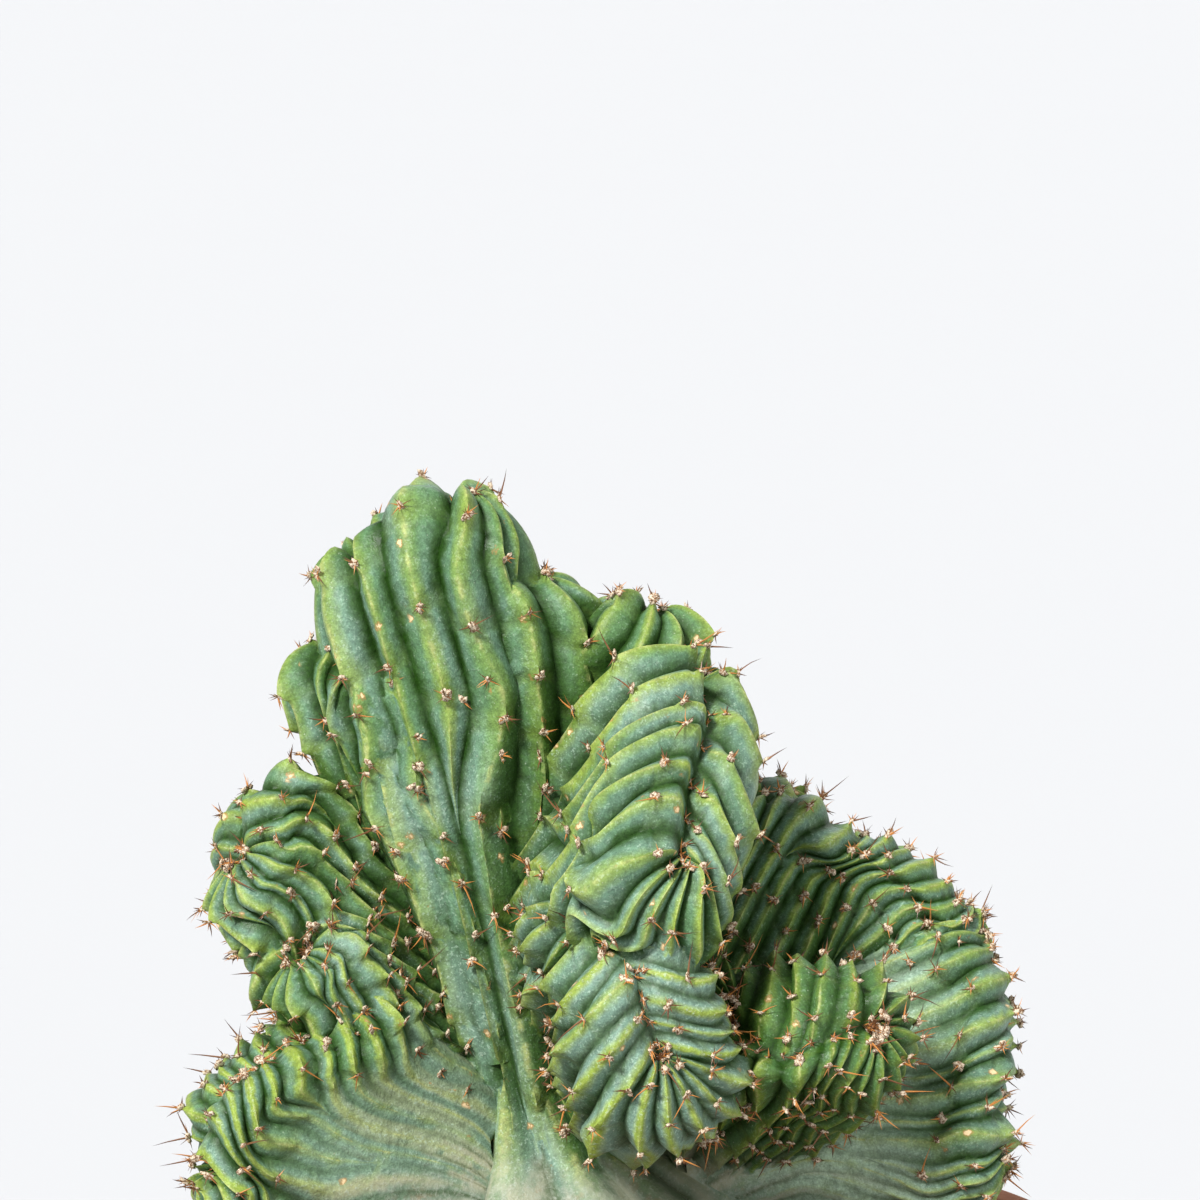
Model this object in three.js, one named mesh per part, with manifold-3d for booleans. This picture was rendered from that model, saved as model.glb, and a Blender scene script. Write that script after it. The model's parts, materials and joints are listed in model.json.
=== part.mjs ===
// Crested columnar cactus in a plain clay pot. Millimetres, +Z up.
// The origin is the centre of the pot's foot, where it stands.
import * as THREE from 'three';
import { mergeVertices } from 'three/addons/utils/BufferGeometryUtils.js';
import Module from 'manifold-3d';

const wasm = await Module();
wasm.setup();

// Pot: the sizes that the rest follows from
const POT_HEIGHT = 168;
const POT_WALL = 8;
const RIM_RADIUS = 112;
const RIM_HEIGHT = 32;
const RIM_STEP = 8;
const FOOT_RADIUS = 76;
const DRAIN_RADIUS = 11;
const FIT_GAP = 0.35;

// Potting mix: a low mound inside the rim, with a plain hole for the stem
const MIX_BELOW_RIM = 2;
const MIX_RISE = 16;
const STEM_HOLE_GAP = 0.4;
const GRIT_CLEAR = 7;
const GRIT_COUNT = 60;

// Plant: heights are measured from the plane where the crest leaves the mix
const CREST_CLEAR = 0.6;
const CREST_BASE = POT_HEIGHT - MIX_BELOW_RIM + MIX_RISE + CREST_CLEAR;
const STEM_RADIUS = 21;
const STEM_DEPTH = 46;
const STEM_LAP = 4;
const STEM_X = -6;
const SPINE_RADIUS = 0.5;
const SPINE_SUNK = 1.6;
const SPINE_COUNT = 150;

// Each fold of the crest: seam is the growing line along its edge and root is the line in the stem
// that its ribs run to, both as points above the crest's base. half is half its thickness at the
// shoulder, cap is how domed its edge is, foot is half its thickness at the root, and pitch is the
// width of a rib. flow is the way the ribs run at the root, and out and into are how stiffly they
// leave the edge and reach the root. slant turns the ribs towards the seam's end, and crowd is how much
// narrower they are round it. gap is the distance between areoles, jag is how deep the notches above
// them are, and flat is how much lower the ribs get towards the root.
const FOLDS = [
  {
    name: 'hood', seam: [[-61, -1, 150], [-56, -2, 158], [-50, -3, 163], [-44, -4, 165], [-39, -4, 163]],
    root: [[-22, -6, 18], [-17, -8, 8]], half: [11, 13, 12], cap: 1.3, foot: 10, pitch: 10.5, seed: 11,
    flow: [0.25, 0, -1], out: 0.5, into: 0.6, gap: 19,
  },
  {
    name: 'mid', seam: [[-34, -3, 141], [-28, -1, 145], [-21, 2, 144]],
    root: [[-18, -5, 24], [-13, -5, 16]], half: [12], cap: 1, foot: 8, pitch: 9, seed: 12, out: 0.5,
    gap: 17,
  },
  {
    name: 'left shoulder', seam: [[-67, 5, 129], [-63, 3, 129], [-59, 0, 125]],
    root: [[-31, -1, 54], [-28, -4, 34]], half: [13], foot: 11, pitch: 8.5, seed: 13, flow: [0.3, 0, -1],
    out: 0.6, into: 0.5, gap: 14,
  },
  {
    name: 'right shoulder', seam: [[7, 0, 138], [7, 9, 136], [6, 20, 130]],
    root: [[-17, -2, 40], [-15, 6, 38]], half: [12], foot: 7, pitch: 8, seed: 14,
  },
  {
    name: 'upper head',
    seam: [[18, -12, 124], [21, -26, 118], [19, -40, 112], [16, -50, 104], [15, -58, 96], [14, -60, 92]],
    root: [[-23, -6, 74], [-20, -8, 54]], half: [15, 19, 20], foot: 9, pitch: 10, seed: 15, slant: 0.6,
    crowd: 0.45, jag: 0.35,
  },
  {
    name: 'lower head', seam: [[-6, -50, 76], [0, -62, 72], [3, -68, 66], [4, -70, 60], [8, -68, 48]],
    root: [[-5, -8, 44], [-1, -8, 26]], half: [15, 19, 19], foot: 14, pitch: 7.4, seed: 16, slant: 0.5,
    crowd: 0.2, gap: 12, jag: 0.6,
  },
  {
    name: 'right head', seam: [[25, -40, 50], [30, -48, 47], [37, -54, 44], [46, -54, 49], [56, -48, 50]],
    root: [[13, -8, 21], [27, -4, 15]], half: [14, 15, 14], foot: 12, pitch: 5, seed: 17, gap: 9,
    jag: 0.7,
  },
  {
    name: 'right fan',
    seam: [[34, 24, 88], [43, 26, 88], [52, 24, 80], [62, 26, 78], [72, 24, 72], [80, 20, 64]],
    root: [[4, 5, 32], [18, 5, 8]], half: [12], foot: 14, pitch: 6, seed: 18, gap: 12, jag: 0.6,
  },
  {
    name: 'right low', seam: [[85, 14, 54], [90, 8, 46], [91, 0, 34], [88, -6, 23], [88, -10, 12]],
    root: [[16, 0, 24], [16, -5, 4]], half: [13], foot: 13, pitch: 5.5, seed: 19, gap: 13, jag: 0.6,
    flat: 0.7,
  },
  {
    name: 'left fan',
    seam: [[-69, 8, 88], [-75, 4, 94], [-83, 0, 96], [-88, -4, 92], [-90, -6, 86], [-88, -10, 81]],
    root: [[-36, 4, 52], [-32, 2, 20]], half: [13], cap: 0.6, foot: 11, pitch: 6, seed: 20,
    flow: [0.35, 0, -1], out: 0.5, into: 0.6, gap: 11, jag: 0.65,
  },
  {
    name: 'left mid', seam: [[-82, -12, 70], [-79, -15, 68], [-76, -18, 65], [-74, -20, 61]],
    root: [[-36, -3, 34], [-34, -4, 6]], half: [12], cap: 0.6, foot: 11, pitch: 5.5, seed: 21,
    flow: [0.35, 0, -1], out: 0.5, into: 0.6, gap: 8, jag: 0.8,
  },
  {
    name: 'left low',
    seam: [[-66, -22, 45], [-77, -28, 41], [-86, -34, 37], [-93, -36, 31], [-96, -36, 23], [-94, -33, 14]],
    root: [[-35, -8, 16], [-32, -12, -6]], half: [13], cap: 0.6, foot: 12, pitch: 6, seed: 22,
    flow: [0.4, 0, -1], out: 0.45, into: 0.5, gap: 10, jag: 0.6, flat: 0.75,
  },
  {
    name: 'back high', seam: [[-34, 34, 98], [-12, 42, 104], [14, 43, 100], [36, 38, 88]],
    root: [[-22, 8, 34], [2, 8, 26]], half: [14], foot: 12, pitch: 7, seed: 31,
  },
  {
    name: 'back left', seam: [[-80, 18, 36], [-74, 36, 44], [-56, 52, 46], [-32, 62, 42]],
    root: [[-30, 4, 22], [-10, 6, 12]], half: [14], foot: 13, pitch: 7, seed: 32,
  },
  {
    name: 'back right', seam: [[-6, 66, 34], [20, 64, 42], [48, 54, 46], [70, 40, 42]],
    root: [[-6, 6, 14], [18, 4, 18]], half: [14], foot: 13, pitch: 7, seed: 33,
  },
];

// Stem stations: height above the crest's base, centre in X, half width, half depth
const STEM_STATIONS = [
  [60, -22, 6, 8], [42, -22, 11, 12], [26, -20, 17, 17],
  [12, -15, 27, 23], [3, -10, 40, 29], [-3, -8, 44, 31],
];
const STEM_RIBS = 14;
const STEM_RIB_DEPTH = 0.07;

// What a fold has unless its own line says otherwise. groove is the depth of the seam, and short the
// share of ribs that end early.
const FOLD_DEFAULTS = {
  cap: 0.75, groove: 3, short: 0.45, out: 0.3, into: 0.4, slant: 0, crowd: 0, gap: 15, jag: 0.45, flat: 0.35,
};
const CAP_SHARE = 0.36;
const GROOVE_WIDTH = 3.2;
const RIB_HEIGHT = 0.45;
const WIDEST_RIB = 10;
const FEWEST_RIBS = 7;
const RIB_SWAY = 0.12;
const CROWD_SPREAD = 0.14;

// How finely the folds are cut: rows from seam to root, columns across a rib, steps along a curve
const ROWS = [0.06, 0.22, 0.4, 0.64, 1];
const COLUMNS = [-1, 0];
const SEAM_STEP = 6;
const TABLE = 81;
const RING = 120;
const LOOP_STEPS = 240;
const CURVE_STEPS = 24;
const RUN_STEPS = 40;
const POT_SIDES = 64;
const MIX_SIDES = 48;
const HOLE_SIDES = 36;
const FULL_TURN = 2 * Math.PI;
const GOLDEN_ANGLE = Math.PI * (3 - Math.sqrt(5));

// Small numbers: a repeatable random draw, a smooth step and a clamp
function draw(...keys) {
  const weights = [12.9898, 78.233, 37.719, 53.127];
  const x = Math.sin(keys.reduce((sum, key, i) => sum + key * weights[i], 0)) * 43758.5453;
  return x - Math.floor(x);
}

const clamp = THREE.MathUtils.clamp;
const lerp = THREE.MathUtils.lerp;

function ease(from, to, x) {
  const t = clamp((x - from) / (to - from), 0, 1);
  return t * t * (3 - 2 * t);
}

// A value read from a list at a share from 0 to 1
function read(list, share) {
  if (list.length === 1) return list[0];
  const x = clamp(share, 0, 1) * (list.length - 1);
  const i = Math.min(Math.floor(x), list.length - 2);
  if (list[i].isVector3) return list[i].clone().lerp(list[i + 1], x - i);
  return lerp(list[i], list[i + 1], x - i);
}

// Evenly spaced points on a smooth curve through the given ones
function evenPoints(points, count) {
  const own = points.map((p) => new THREE.Vector3(...p));
  if (own.length === 2) {
    return Array.from({ length: count }, (_, i) => own[0].clone().lerp(own[1], i / (count - 1)));
  }
  const first = own[0].clone().multiplyScalar(2).sub(own[1]);
  const last = own.at(-1).clone().multiplyScalar(2).sub(own.at(-2));
  const all = [first, ...own, last];
  const dense = [];
  for (let i = 1; i < all.length - 2; i += 1) {
    for (let k = 0; k < CURVE_STEPS; k += 1) {
      dense.push(catmull(all[i - 1], all[i], all[i + 1], all[i + 2], k / CURVE_STEPS));
    }
  }
  dense.push(own.at(-1));
  const run = [0];
  for (let i = 1; i < dense.length; i += 1) run.push(run[i - 1] + dense[i].distanceTo(dense[i - 1]));
  return Array.from({ length: count }, (_, i) => {
    const want = (i / (count - 1)) * run.at(-1);
    let k = 1;
    while (k < run.length - 1 && run[k] < want) k += 1;
    return dense[k - 1].clone().lerp(dense[k], (want - run[k - 1]) / (run[k] - run[k - 1]));
  });
}

function catmull(a, b, c, d, t) {
  const out = new THREE.Vector3();
  for (const axis of ['x', 'y', 'z']) {
    const [p, q, r, s] = [a[axis], b[axis], c[axis], d[axis]];
    const square = (2 * p - 5 * q + 4 * r - s) * t ** 2;
    const cube = (3 * q - p - 3 * r + s) * t ** 3;
    out[axis] = 0.5 * (2 * q + (r - p) * t + square + cube);
  }
  return out;
}

// One fold of the crest. Its surface starts at the seam, goes over a rounded edge to the shoulder,
// and runs in along the ribs to the root. share goes once round it, and u goes from seam to root.
class Fold {
  constructor(spec) {
    Object.assign(this, FOLD_DEFAULTS, spec);
    this.P = evenPoints(spec.seam, TABLE);
    this.R = evenPoints(spec.root, TABLE);
    this.length = this.P.reduce((sum, p, i) => sum + (i ? p.distanceTo(this.P[i - 1]) : 0), 0);
    this.setAxes();
    this.w0 = this.half[0];
    this.w1 = this.half.at(-1);
    this.loop = 2 * this.length + Math.PI * (this.w0 + this.w1);
    this.evenRing();
    this.planRibs();
    this.rowCache = new Map();
  }

  // Facing U points away from the root, N is the sheet's side and T runs along the seam
  setAxes() {
    const last = TABLE - 1;
    const heading = this.P.map((_, i) => {
      const [before, after] = [this.P[Math.max(i - 1, 0)], this.P[Math.min(i + 1, last)]];
      return after.clone().sub(before).normalize();
    });
    const facing = this.P.map((p, i) => p.clone().sub(this.R[i]).normalize());
    const sides = heading.map((t, i) => t.clone().cross(facing[i]).normalize());
    const mean = sides.reduce((sum, n) => sum.add(n), new THREE.Vector3()).normalize();
    this.N = sides.map((n) => n.clone().multiplyScalar(0.1).addScaledVector(mean, 0.9).normalize());
    this.U = facing.map((u, i) => u.clone().addScaledVector(this.N[i], -u.dot(this.N[i])).normalize());
    this.T = this.U.map((u, i) => u.clone().cross(this.N[i]).normalize());
    this.sway = this.P.map((p, i) => {
      const straight = this.P[0].clone().lerp(this.P[last], i / last);
      return this.N[i].clone().multiplyScalar(p.clone().sub(straight).dot(this.N[i]));
    });
    const flow = this.flow && new THREE.Vector3(...this.flow).normalize();
    this.F = this.U.map((u) => (flow ? flow.clone() : u.clone().negate()));
  }

  // Makes equal shares of the loop equally long at the shoulder
  evenRing() {
    const level = CAP_SHARE + 0.06;
    const run = [0];
    let before = this.base(level, 0);
    for (let i = 1; i <= LOOP_STEPS; i += 1) {
      const here = this.base(level, Math.min(i / LOOP_STEPS, 0.9999999));
      run.push(run[i - 1] + here.distanceTo(before));
      before = here;
    }
    this.ribs = Math.max(FEWEST_RIBS, Math.round(run[LOOP_STEPS] / this.pitch));
    this.even = run.map((r) => r / run[LOOP_STEPS]);
  }

  // Random widths, heights and bends, ribs that stop short, and where each rib's areoles lie
  planRibs() {
    const index = [...Array(this.ribs).keys()];
    const tip = (this.length + Math.PI * this.w1 / 2) / this.loop;
    this.width = index.map((i) => {
      const near = Math.exp(-(((i / this.ribs - tip) / CROWD_SPREAD) ** 2));
      return (0.6 + 0.8 * draw(i, this.seed, 1)) * (1 - this.crowd * near);
    });
    this.swing = index.map((i) => 4 + 5 * draw(i, this.seed, 7));
    this.stop = index.map(() => 9);
    for (const i of index.slice(0, -1)) {
      const free = i === 0 || this.stop[i - 1] > 5;
      if (free && draw(i, this.seed, 2) < this.short) this.stop[i] = 0.42 + 0.4 * draw(i, this.seed, 3);
    }
    this.first = index.map((i) => this.gap * (0.2 + 0.6 * draw(i, this.seed, 4)));
    this.spacing = index.map((i) => this.gap * (0.75 + 0.5 * draw(i, this.seed, 4)));
    this.tall = index.map((i) => 0.85 + 0.3 * draw(i, this.seed, 5));
    this.bend = index.map((i) => FULL_TURN * draw(i, this.seed, 6));
  }

  // Where a share of the loop lies: how far along the seam, and the angle round its end
  place(share) {
    let x = share - Math.floor(share);
    if (this.even) {
      let k = 1;
      while (k < LOOP_STEPS && this.even[k] < x) k += 1;
      const [low, high] = [this.even[k - 1], this.even[k]];
      x = (k - 1 + (x - low) / Math.max(high - low, 1e-9)) / LOOP_STEPS;
    }
    const l = Math.min(x, 0.999999) * this.loop;
    const turn = Math.PI * this.w1;
    const [narrow, wide] = [Math.PI - 2 * this.slant, Math.PI + 2 * this.slant];
    if (l < this.length) return [l / this.length, this.slant];
    if (l < this.length + turn) return [1, this.slant + narrow * (l - this.length) / turn];
    if (l < 2 * this.length + turn) return [1 - (l - this.length - turn) / this.length, Math.PI - this.slant];
    return [0, Math.PI - this.slant + wide * (l - 2 * this.length - turn) / (Math.PI * this.w0)];
  }

  // The smooth skin under the ribs
  base(u, share, groove = this.groove) {
    const [s, angle] = this.place(share);
    const lists = [this.P, this.T, this.U, this.N, this.R, this.F];
    const [P, T, U, N, R, F] = lists.map((list) => read(list, s));
    P.addScaledVector(read(this.sway, s), -ease(0, CAP_SHARE, u));
    const half = read(this.half, s);
    const D = N.multiplyScalar(Math.cos(angle)).addScaledVector(T, Math.sin(angle));
    const depth = half * this.cap;
    if (u <= CAP_SHARE) {
      const theta = (u / CAP_SHARE) * Math.PI / 2;
      const across = half * Math.sin(theta);
      const sink = depth * (Math.cos(theta) - 1) - groove * Math.exp(-((across / GROOVE_WIDTH) ** 2));
      return P.addScaledVector(D, across).addScaledVector(U, sink);
    }
    const S = P.addScaledVector(D, half).addScaledVector(U, -depth);
    const side = D.clone().addScaledVector(F, -0.8 * D.dot(F)).normalize();
    const Q = R.addScaledVector(side, this.foot);
    const t = (u - CAP_SHARE) / (1 - CAP_SHARE);
    const gap = Q.distanceTo(S);
    return S.multiplyScalar(2 * t ** 3 - 3 * t ** 2 + 1)
      .addScaledVector(U, -gap * this.out * (t ** 3 - 2 * t ** 2 + t))
      .addScaledVector(Q, -2 * t ** 3 + 3 * t ** 2)
      .addScaledVector(F, gap * this.into * (t ** 3 - t ** 2));
  }

  normal(u, share) {
    const [above, below] = [Math.max(u - 0.004, 0.002), Math.min(u + 0.004, 1)];
    const down = this.base(below, share, 0).sub(this.base(above, share, 0));
    const along = this.base(u, share + 0.002, 0).sub(this.base(u, share - 0.002, 0));
    return down.cross(along).normalize();
  }

  // What every rib shares at one distance from the seam: its edges and its width in millimetres
  row(u) {
    if (this.rowCache.has(u)) return this.rowCache.get(u);
    const widths = this.width.map((w, i) => {
      const swell = 1 + 0.25 * Math.sin(this.bend[i] * 3 + u * this.swing[i]);
      return w * swell * (1 - ease(this.stop[i] - 0.16, this.stop[i], u));
    });
    const total = widths.reduce((sum, w) => sum + w, 0);
    const edges = [0];
    widths.forEach((w, i) => edges.push(edges[i] + w / total));
    let ring = 0;
    let before = this.base(u, 0);
    for (let i = 1; i <= RING; i += 1) {
      const here = this.base(u, i / RING - 1e-7);
      ring += here.distanceTo(before);
      before = here;
    }
    const made = { edges, ring };
    this.rowCache.set(u, made);
    return made;
  }

  // How far down its rib a place lies, in millimetres from the seam
  along(rib, u) {
    this.runs ??= [];
    if (!this.runs[rib]) {
      const run = [0];
      let before = null;
      for (let i = 0; i <= RUN_STEPS; i += 1) {
        const level = i / RUN_STEPS;
        const { edges } = this.row(level);
        const here = this.base(level, (edges[rib] + edges[rib + 1]) / 2);
        if (before) run.push(run[i - 1] + here.distanceTo(before));
        before = here;
      }
      this.runs[rib] = run;
    }
    return read(this.runs[rib], u);
  }

  // Where a place across a rib lies round the loop. local goes from -1 to 1, with the ridge at 0
  across(u, rib, local) {
    const { edges } = this.row(u);
    const sway = RIB_SWAY * Math.sin(u * 6 + this.bend[rib]) * (1 - local ** 2);
    return edges[rib] + (edges[rib + 1] - edges[rib]) * (local + 1 + sway) / 2;
  }

  // A point of the ribbed skin
  point(u, rib, local) {
    const { edges, ring } = this.row(u);
    const share = this.across(u, rib, local);
    const phase = (this.along(rib, u) - this.first[rib]) / this.spacing[rib];
    const q = phase - Math.floor(phase);
    const rise = q ** 1.6 * (1 - ease(0.9, 1, q));
    const notch = this.tall[rib] * (1 - 0.6 * this.jag + this.jag * rise);
    const fade = ease(0, 0.07, u) * (1 - this.flat * ease(0.55, 0.9, u));
    const wide = Math.min((edges[rib + 1] - edges[rib]) * ring, WIDEST_RIB);
    const height = RIB_HEIGHT * wide * fade * (1 - Math.abs(local)) * notch;
    return this.base(u, share).addScaledVector(this.normal(u, share), height);
  }
}

// Triangles to solids and back
function solid(geometry) {
  geometry.deleteAttribute('normal');
  geometry.deleteAttribute('uv');
  const merged = mergeVertices(geometry, 1e-4);
  const raw = merged.index.array;
  const kept = [];
  for (let i = 0; i < raw.length; i += 3) {
    const [a, b, c] = [raw[i], raw[i + 1], raw[i + 2]];
    if (a !== b && b !== c && c !== a) kept.push(a, b, c);
  }
  const mesh = new wasm.Mesh({
    numProp: 3,
    vertProperties: new Float32Array(merged.attributes.position.array),
    triVerts: new Uint32Array(kept),
  });
  return new wasm.Manifold(mesh);
}

function surface(points, triangles) {
  const geometry = new THREE.BufferGeometry();
  geometry.setFromPoints(points);
  geometry.setIndex(triangles);
  return geometry;
}

// The largest closed body of a joined solid: sealed hollows are filled and loose scraps go
function oneBody(joined) {
  const { vertProperties, triVerts, numProp } = joined.getMesh();
  const parent = Array.from({ length: vertProperties.length / numProp }, (_, i) => i);
  const find = (i) => {
    while (parent[i] !== i) i = parent[i] = parent[parent[i]];
    return i;
  };
  for (let i = 0; i < triVerts.length; i += 3) {
    parent[find(triVerts[i])] = find(triVerts[i + 1]);
    parent[find(triVerts[i + 1])] = find(triVerts[i + 2]);
  }
  const at = (i) => new THREE.Vector3(...vertProperties.slice(i * numProp, i * numProp + 3));
  const volume = new Map();
  for (let i = 0; i < triVerts.length; i += 3) {
    const part = find(triVerts[i]);
    const six = at(triVerts[i]).dot(at(triVerts[i + 1]).cross(at(triVerts[i + 2])));
    volume.set(part, (volume.get(part) ?? 0) + six);
  }
  const main = [...volume].sort((a, b) => b[1] - a[1])[0][0];
  const kept = Array.from(triVerts).filter((_, i) => find(triVerts[i - (i % 3)]) === main);
  const used = [...new Set(kept)];
  const renumber = new Map(used.map((old, now) => [old, now]));
  return surface(used.map(at), kept.map((old) => renumber.get(old)));
}

// One fold as a closed mesh: the ribbed grid, a strip that closes the seam, and a fan at the root
function foldSolid(fold) {
  const around = fold.ribs * COLUMNS.length;
  const points = [];
  for (const u of ROWS) {
    for (let rib = 0; rib < fold.ribs; rib += 1) {
      for (const local of COLUMNS) points.push(fold.point(u, rib, local));
    }
  }
  const triangles = [];
  for (let row = 0; row < ROWS.length - 1; row += 1) {
    for (let i = 0; i < around; i += 1) {
      const [a, b] = [row * around + i, row * around + (i + 1) % around];
      triangles.push(a, b + around, b, a, a + around, b + around);
    }
  }
  const seamCount = Math.max(2, Math.floor(fold.length / SEAM_STEP));
  const seamStart = points.length;
  for (let i = 0; i < seamCount; i += 1) {
    const k = Math.round((i / (seamCount - 1)) * (TABLE - 1));
    points.push(fold.P[k].clone().addScaledVector(fold.U[k], -fold.groove));
  }
  const nearest = (i) => {
    const share = fold.across(ROWS[0], Math.floor(i / COLUMNS.length), COLUMNS[i % COLUMNS.length]);
    return Math.round(fold.place(share)[0] * (seamCount - 1));
  };
  for (let i = 0; i < around; i += 1) {
    const next = (i + 1) % around;
    const [from, to] = [nearest(i), nearest(next)];
    triangles.push(i, next, seamStart + to);
    const step = to > from ? 1 : -1;
    for (let k = from; k !== to; k += step) triangles.push(i, seamStart + k + step, seamStart + k);
  }
  const lastRow = (ROWS.length - 1) * around;
  const rim = points.slice(lastRow, lastRow + around);
  points.push(rim.reduce((sum, p) => sum.add(p), new THREE.Vector3()).divideScalar(around));
  for (let i = 0; i < around; i += 1) {
    triangles.push(lastRow + i, points.length - 1, lastRow + (i + 1) % around);
  }
  return solid(surface(points, triangles));
}

// The stem that all folds grow from, with shallow ribs
function stemSolid() {
  const sides = STEM_RIBS * 2;
  const points = STEM_STATIONS.flatMap(([z, x, wide, deep]) => Array.from({ length: sides }, (_, i) => {
    const angle = (i / sides) * FULL_TURN;
    const reach = i % 2 ? 1 - STEM_RIB_DEPTH : 1 + STEM_RIB_DEPTH;
    return new THREE.Vector3(x + wide * reach * Math.cos(angle), deep * reach * Math.sin(angle), z);
  }));
  const triangles = [];
  const rings = STEM_STATIONS.length;
  for (let row = 0; row < rings - 1; row += 1) {
    for (let i = 0; i < sides; i += 1) {
      const [a, b] = [row * sides + i, row * sides + (i + 1) % sides];
      triangles.push(a, a + sides, b, b, a + sides, b + sides);
    }
  }
  const ends = [STEM_STATIONS[0], STEM_STATIONS.at(-1)].map(([z, x]) => new THREE.Vector3(x, 0, z));
  points.push(...ends);
  for (let i = 0; i < sides; i += 1) {
    const next = (i + 1) % sides;
    triangles.push(points.length - 2, i, next);
    triangles.push(points.length - 1, (rings - 1) * sides + next, (rings - 1) * sides + i);
  }
  return solid(surface(points, triangles));
}

// Where spines stand: the areoles down every rib, from the seam outwards
function areoles(fold) {
  const found = [];
  for (let rib = 0; rib < fold.ribs; rib += 1) {
    const end = Math.min(fold.stop[rib] - 0.12, 0.82);
    for (let k = 0; k < 6; k += 1) {
      const want = fold.first[rib] + (k - 0.08) * fold.spacing[rib];
      let u = 0.02;
      while (u < end && fold.along(rib, u) < want) u += 0.01;
      if (u >= end) break;
      const { edges } = fold.row(u);
      const share = (edges[rib] + edges[rib + 1]) / 2;
      found.push({ at: fold.point(u, rib, 0), out: fold.normal(u, share), key: [rib, k, fold.seed] });
    }
  }
  return found;
}

function spineSolid({ at, out, key }) {
  const [rib, k, seed] = key;
  const length = 4.5 + 3.5 * draw(rib, k, seed, 7);
  const tilt = new THREE.Vector3(...[8, 9, 10].map((axis) => draw(rib, k, seed, axis) - 0.5));
  const heading = out.clone().addScaledVector(tilt, 0.9).normalize();
  const cone = new THREE.ConeGeometry(SPINE_RADIUS, length + SPINE_SUNK, 3);
  cone.translate(0, (length + SPINE_SUNK) / 2 - SPINE_SUNK, 0);
  cone.applyQuaternion(new THREE.Quaternion().setFromUnitVectors(new THREE.Vector3(0, 1, 0), heading));
  cone.translate(at.x, at.y, at.z);
  return { body: solid(cone), tip: at.clone().addScaledVector(heading, length) };
}

function crestGeometry() {
  const folds = FOLDS.map((spec) => new Fold(spec));
  let body = folds.map(foldSolid).reduce((all, one) => all.add(one), stemSolid());
  const under = new THREE.BoxGeometry(400, 400, 200);
  under.translate(0, 0, -100);
  body = body.subtract(solid(under));
  const plug = new THREE.CylinderGeometry(STEM_RADIUS, STEM_RADIUS, STEM_DEPTH + STEM_LAP, HOLE_SIDES);
  plug.rotateX(Math.PI / 2);
  plug.translate(STEM_X, 0, (STEM_LAP - STEM_DEPTH) / 2);
  body = body.add(solid(plug));
  const all = folds.flatMap(areoles);
  const every = all.length / SPINE_COUNT;
  for (let i = 0; i < SPINE_COUNT; i += 1) {
    const spine = spineSolid(all[Math.floor((i + 0.5) * every)]);
    if (spine.tip.z > 1.5) body = body.add(spine.body);
  }
  const geometry = oneBody(body);
  geometry.translate(0, 0, CREST_BASE);
  return geometry;
}

// Pot: a plain tapered clay pot with a straight rim and one drain hole
const innerRim = RIM_RADIUS - POT_WALL - 1;
const innerFoot = FOOT_RADIUS - POT_WALL;

function innerRadius(z) {
  return lerp(innerFoot, innerRim, clamp((z - POT_WALL) / (POT_HEIGHT - POT_WALL), 0, 1));
}

function lathe(profile, segments) {
  const points = profile.map(([r, z]) => new THREE.Vector2(r, z));
  return new THREE.LatheGeometry(points, segments).rotateX(Math.PI / 2);
}

function potGeometry() {
  const rimFoot = POT_HEIGHT - RIM_HEIGHT;
  const wallTop = RIM_RADIUS - RIM_STEP;
  const profile = [
    [DRAIN_RADIUS, 0], [FOOT_RADIUS - 2, 0], [FOOT_RADIUS, 2], [wallTop, rimFoot],
    [RIM_RADIUS - 2.5, rimFoot + 1], [RIM_RADIUS, rimFoot + 4], [RIM_RADIUS, POT_HEIGHT - 3],
    [RIM_RADIUS - 2.5, POT_HEIGHT], [innerRim + 2, POT_HEIGHT],
    [innerRadius(POT_HEIGHT - 2), POT_HEIGHT - 2], [innerFoot, POT_WALL],
    [DRAIN_RADIUS, POT_WALL], [DRAIN_RADIUS, 0],
  ];
  return oneBody(solid(lathe(profile, POT_SIDES)));
}

// Potting mix: a mound with half-sunk grains of grit and bark
function mixHeight(r) {
  return POT_HEIGHT - MIX_BELOW_RIM + MIX_RISE * (1 - ease(innerRim * 0.62, innerRim, r));
}

function grainPlaces(crest) {
  const low = [];
  const corner = new THREE.Vector3();
  for (let i = 0; i < crest.attributes.position.count; i += 1) {
    corner.fromBufferAttribute(crest.attributes.position, i);
    if (corner.z < CREST_BASE + 4) low.push(corner.clone());
  }
  const [, middle, wide, deep] = STEM_STATIONS.at(-1);
  const reach = (x, y) => Math.hypot((x - middle) / (wide + GRIT_CLEAR), y / (deep + GRIT_CLEAR));
  const clear = ([x, y]) => reach(x, y) > 1 && low.every((p) => Math.hypot(p.x - x, p.y - y) > GRIT_CLEAR);
  return Array.from({ length: GRIT_COUNT }, (_, i) => {
    const r = 34 + (innerRim - 40) * Math.sqrt((i + 0.5) / GRIT_COUNT);
    return [r * Math.cos(i * GOLDEN_ANGLE), r * Math.sin(i * GOLDEN_ANGLE), r];
  }).filter(clear);
}

function grainSolid([x, y, r], i) {
  const size = 1.6 + 1.3 * draw(i, 1, 41);
  const grain = new THREE.IcosahedronGeometry(size, 0);
  grain.scale(1, 0.7 + 0.5 * draw(i, 2, 41), 0.7);
  grain.rotateZ(FULL_TURN * draw(i, 3, 41));
  grain.translate(x, y, mixHeight(r) + 0.1);
  return solid(grain);
}

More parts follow.
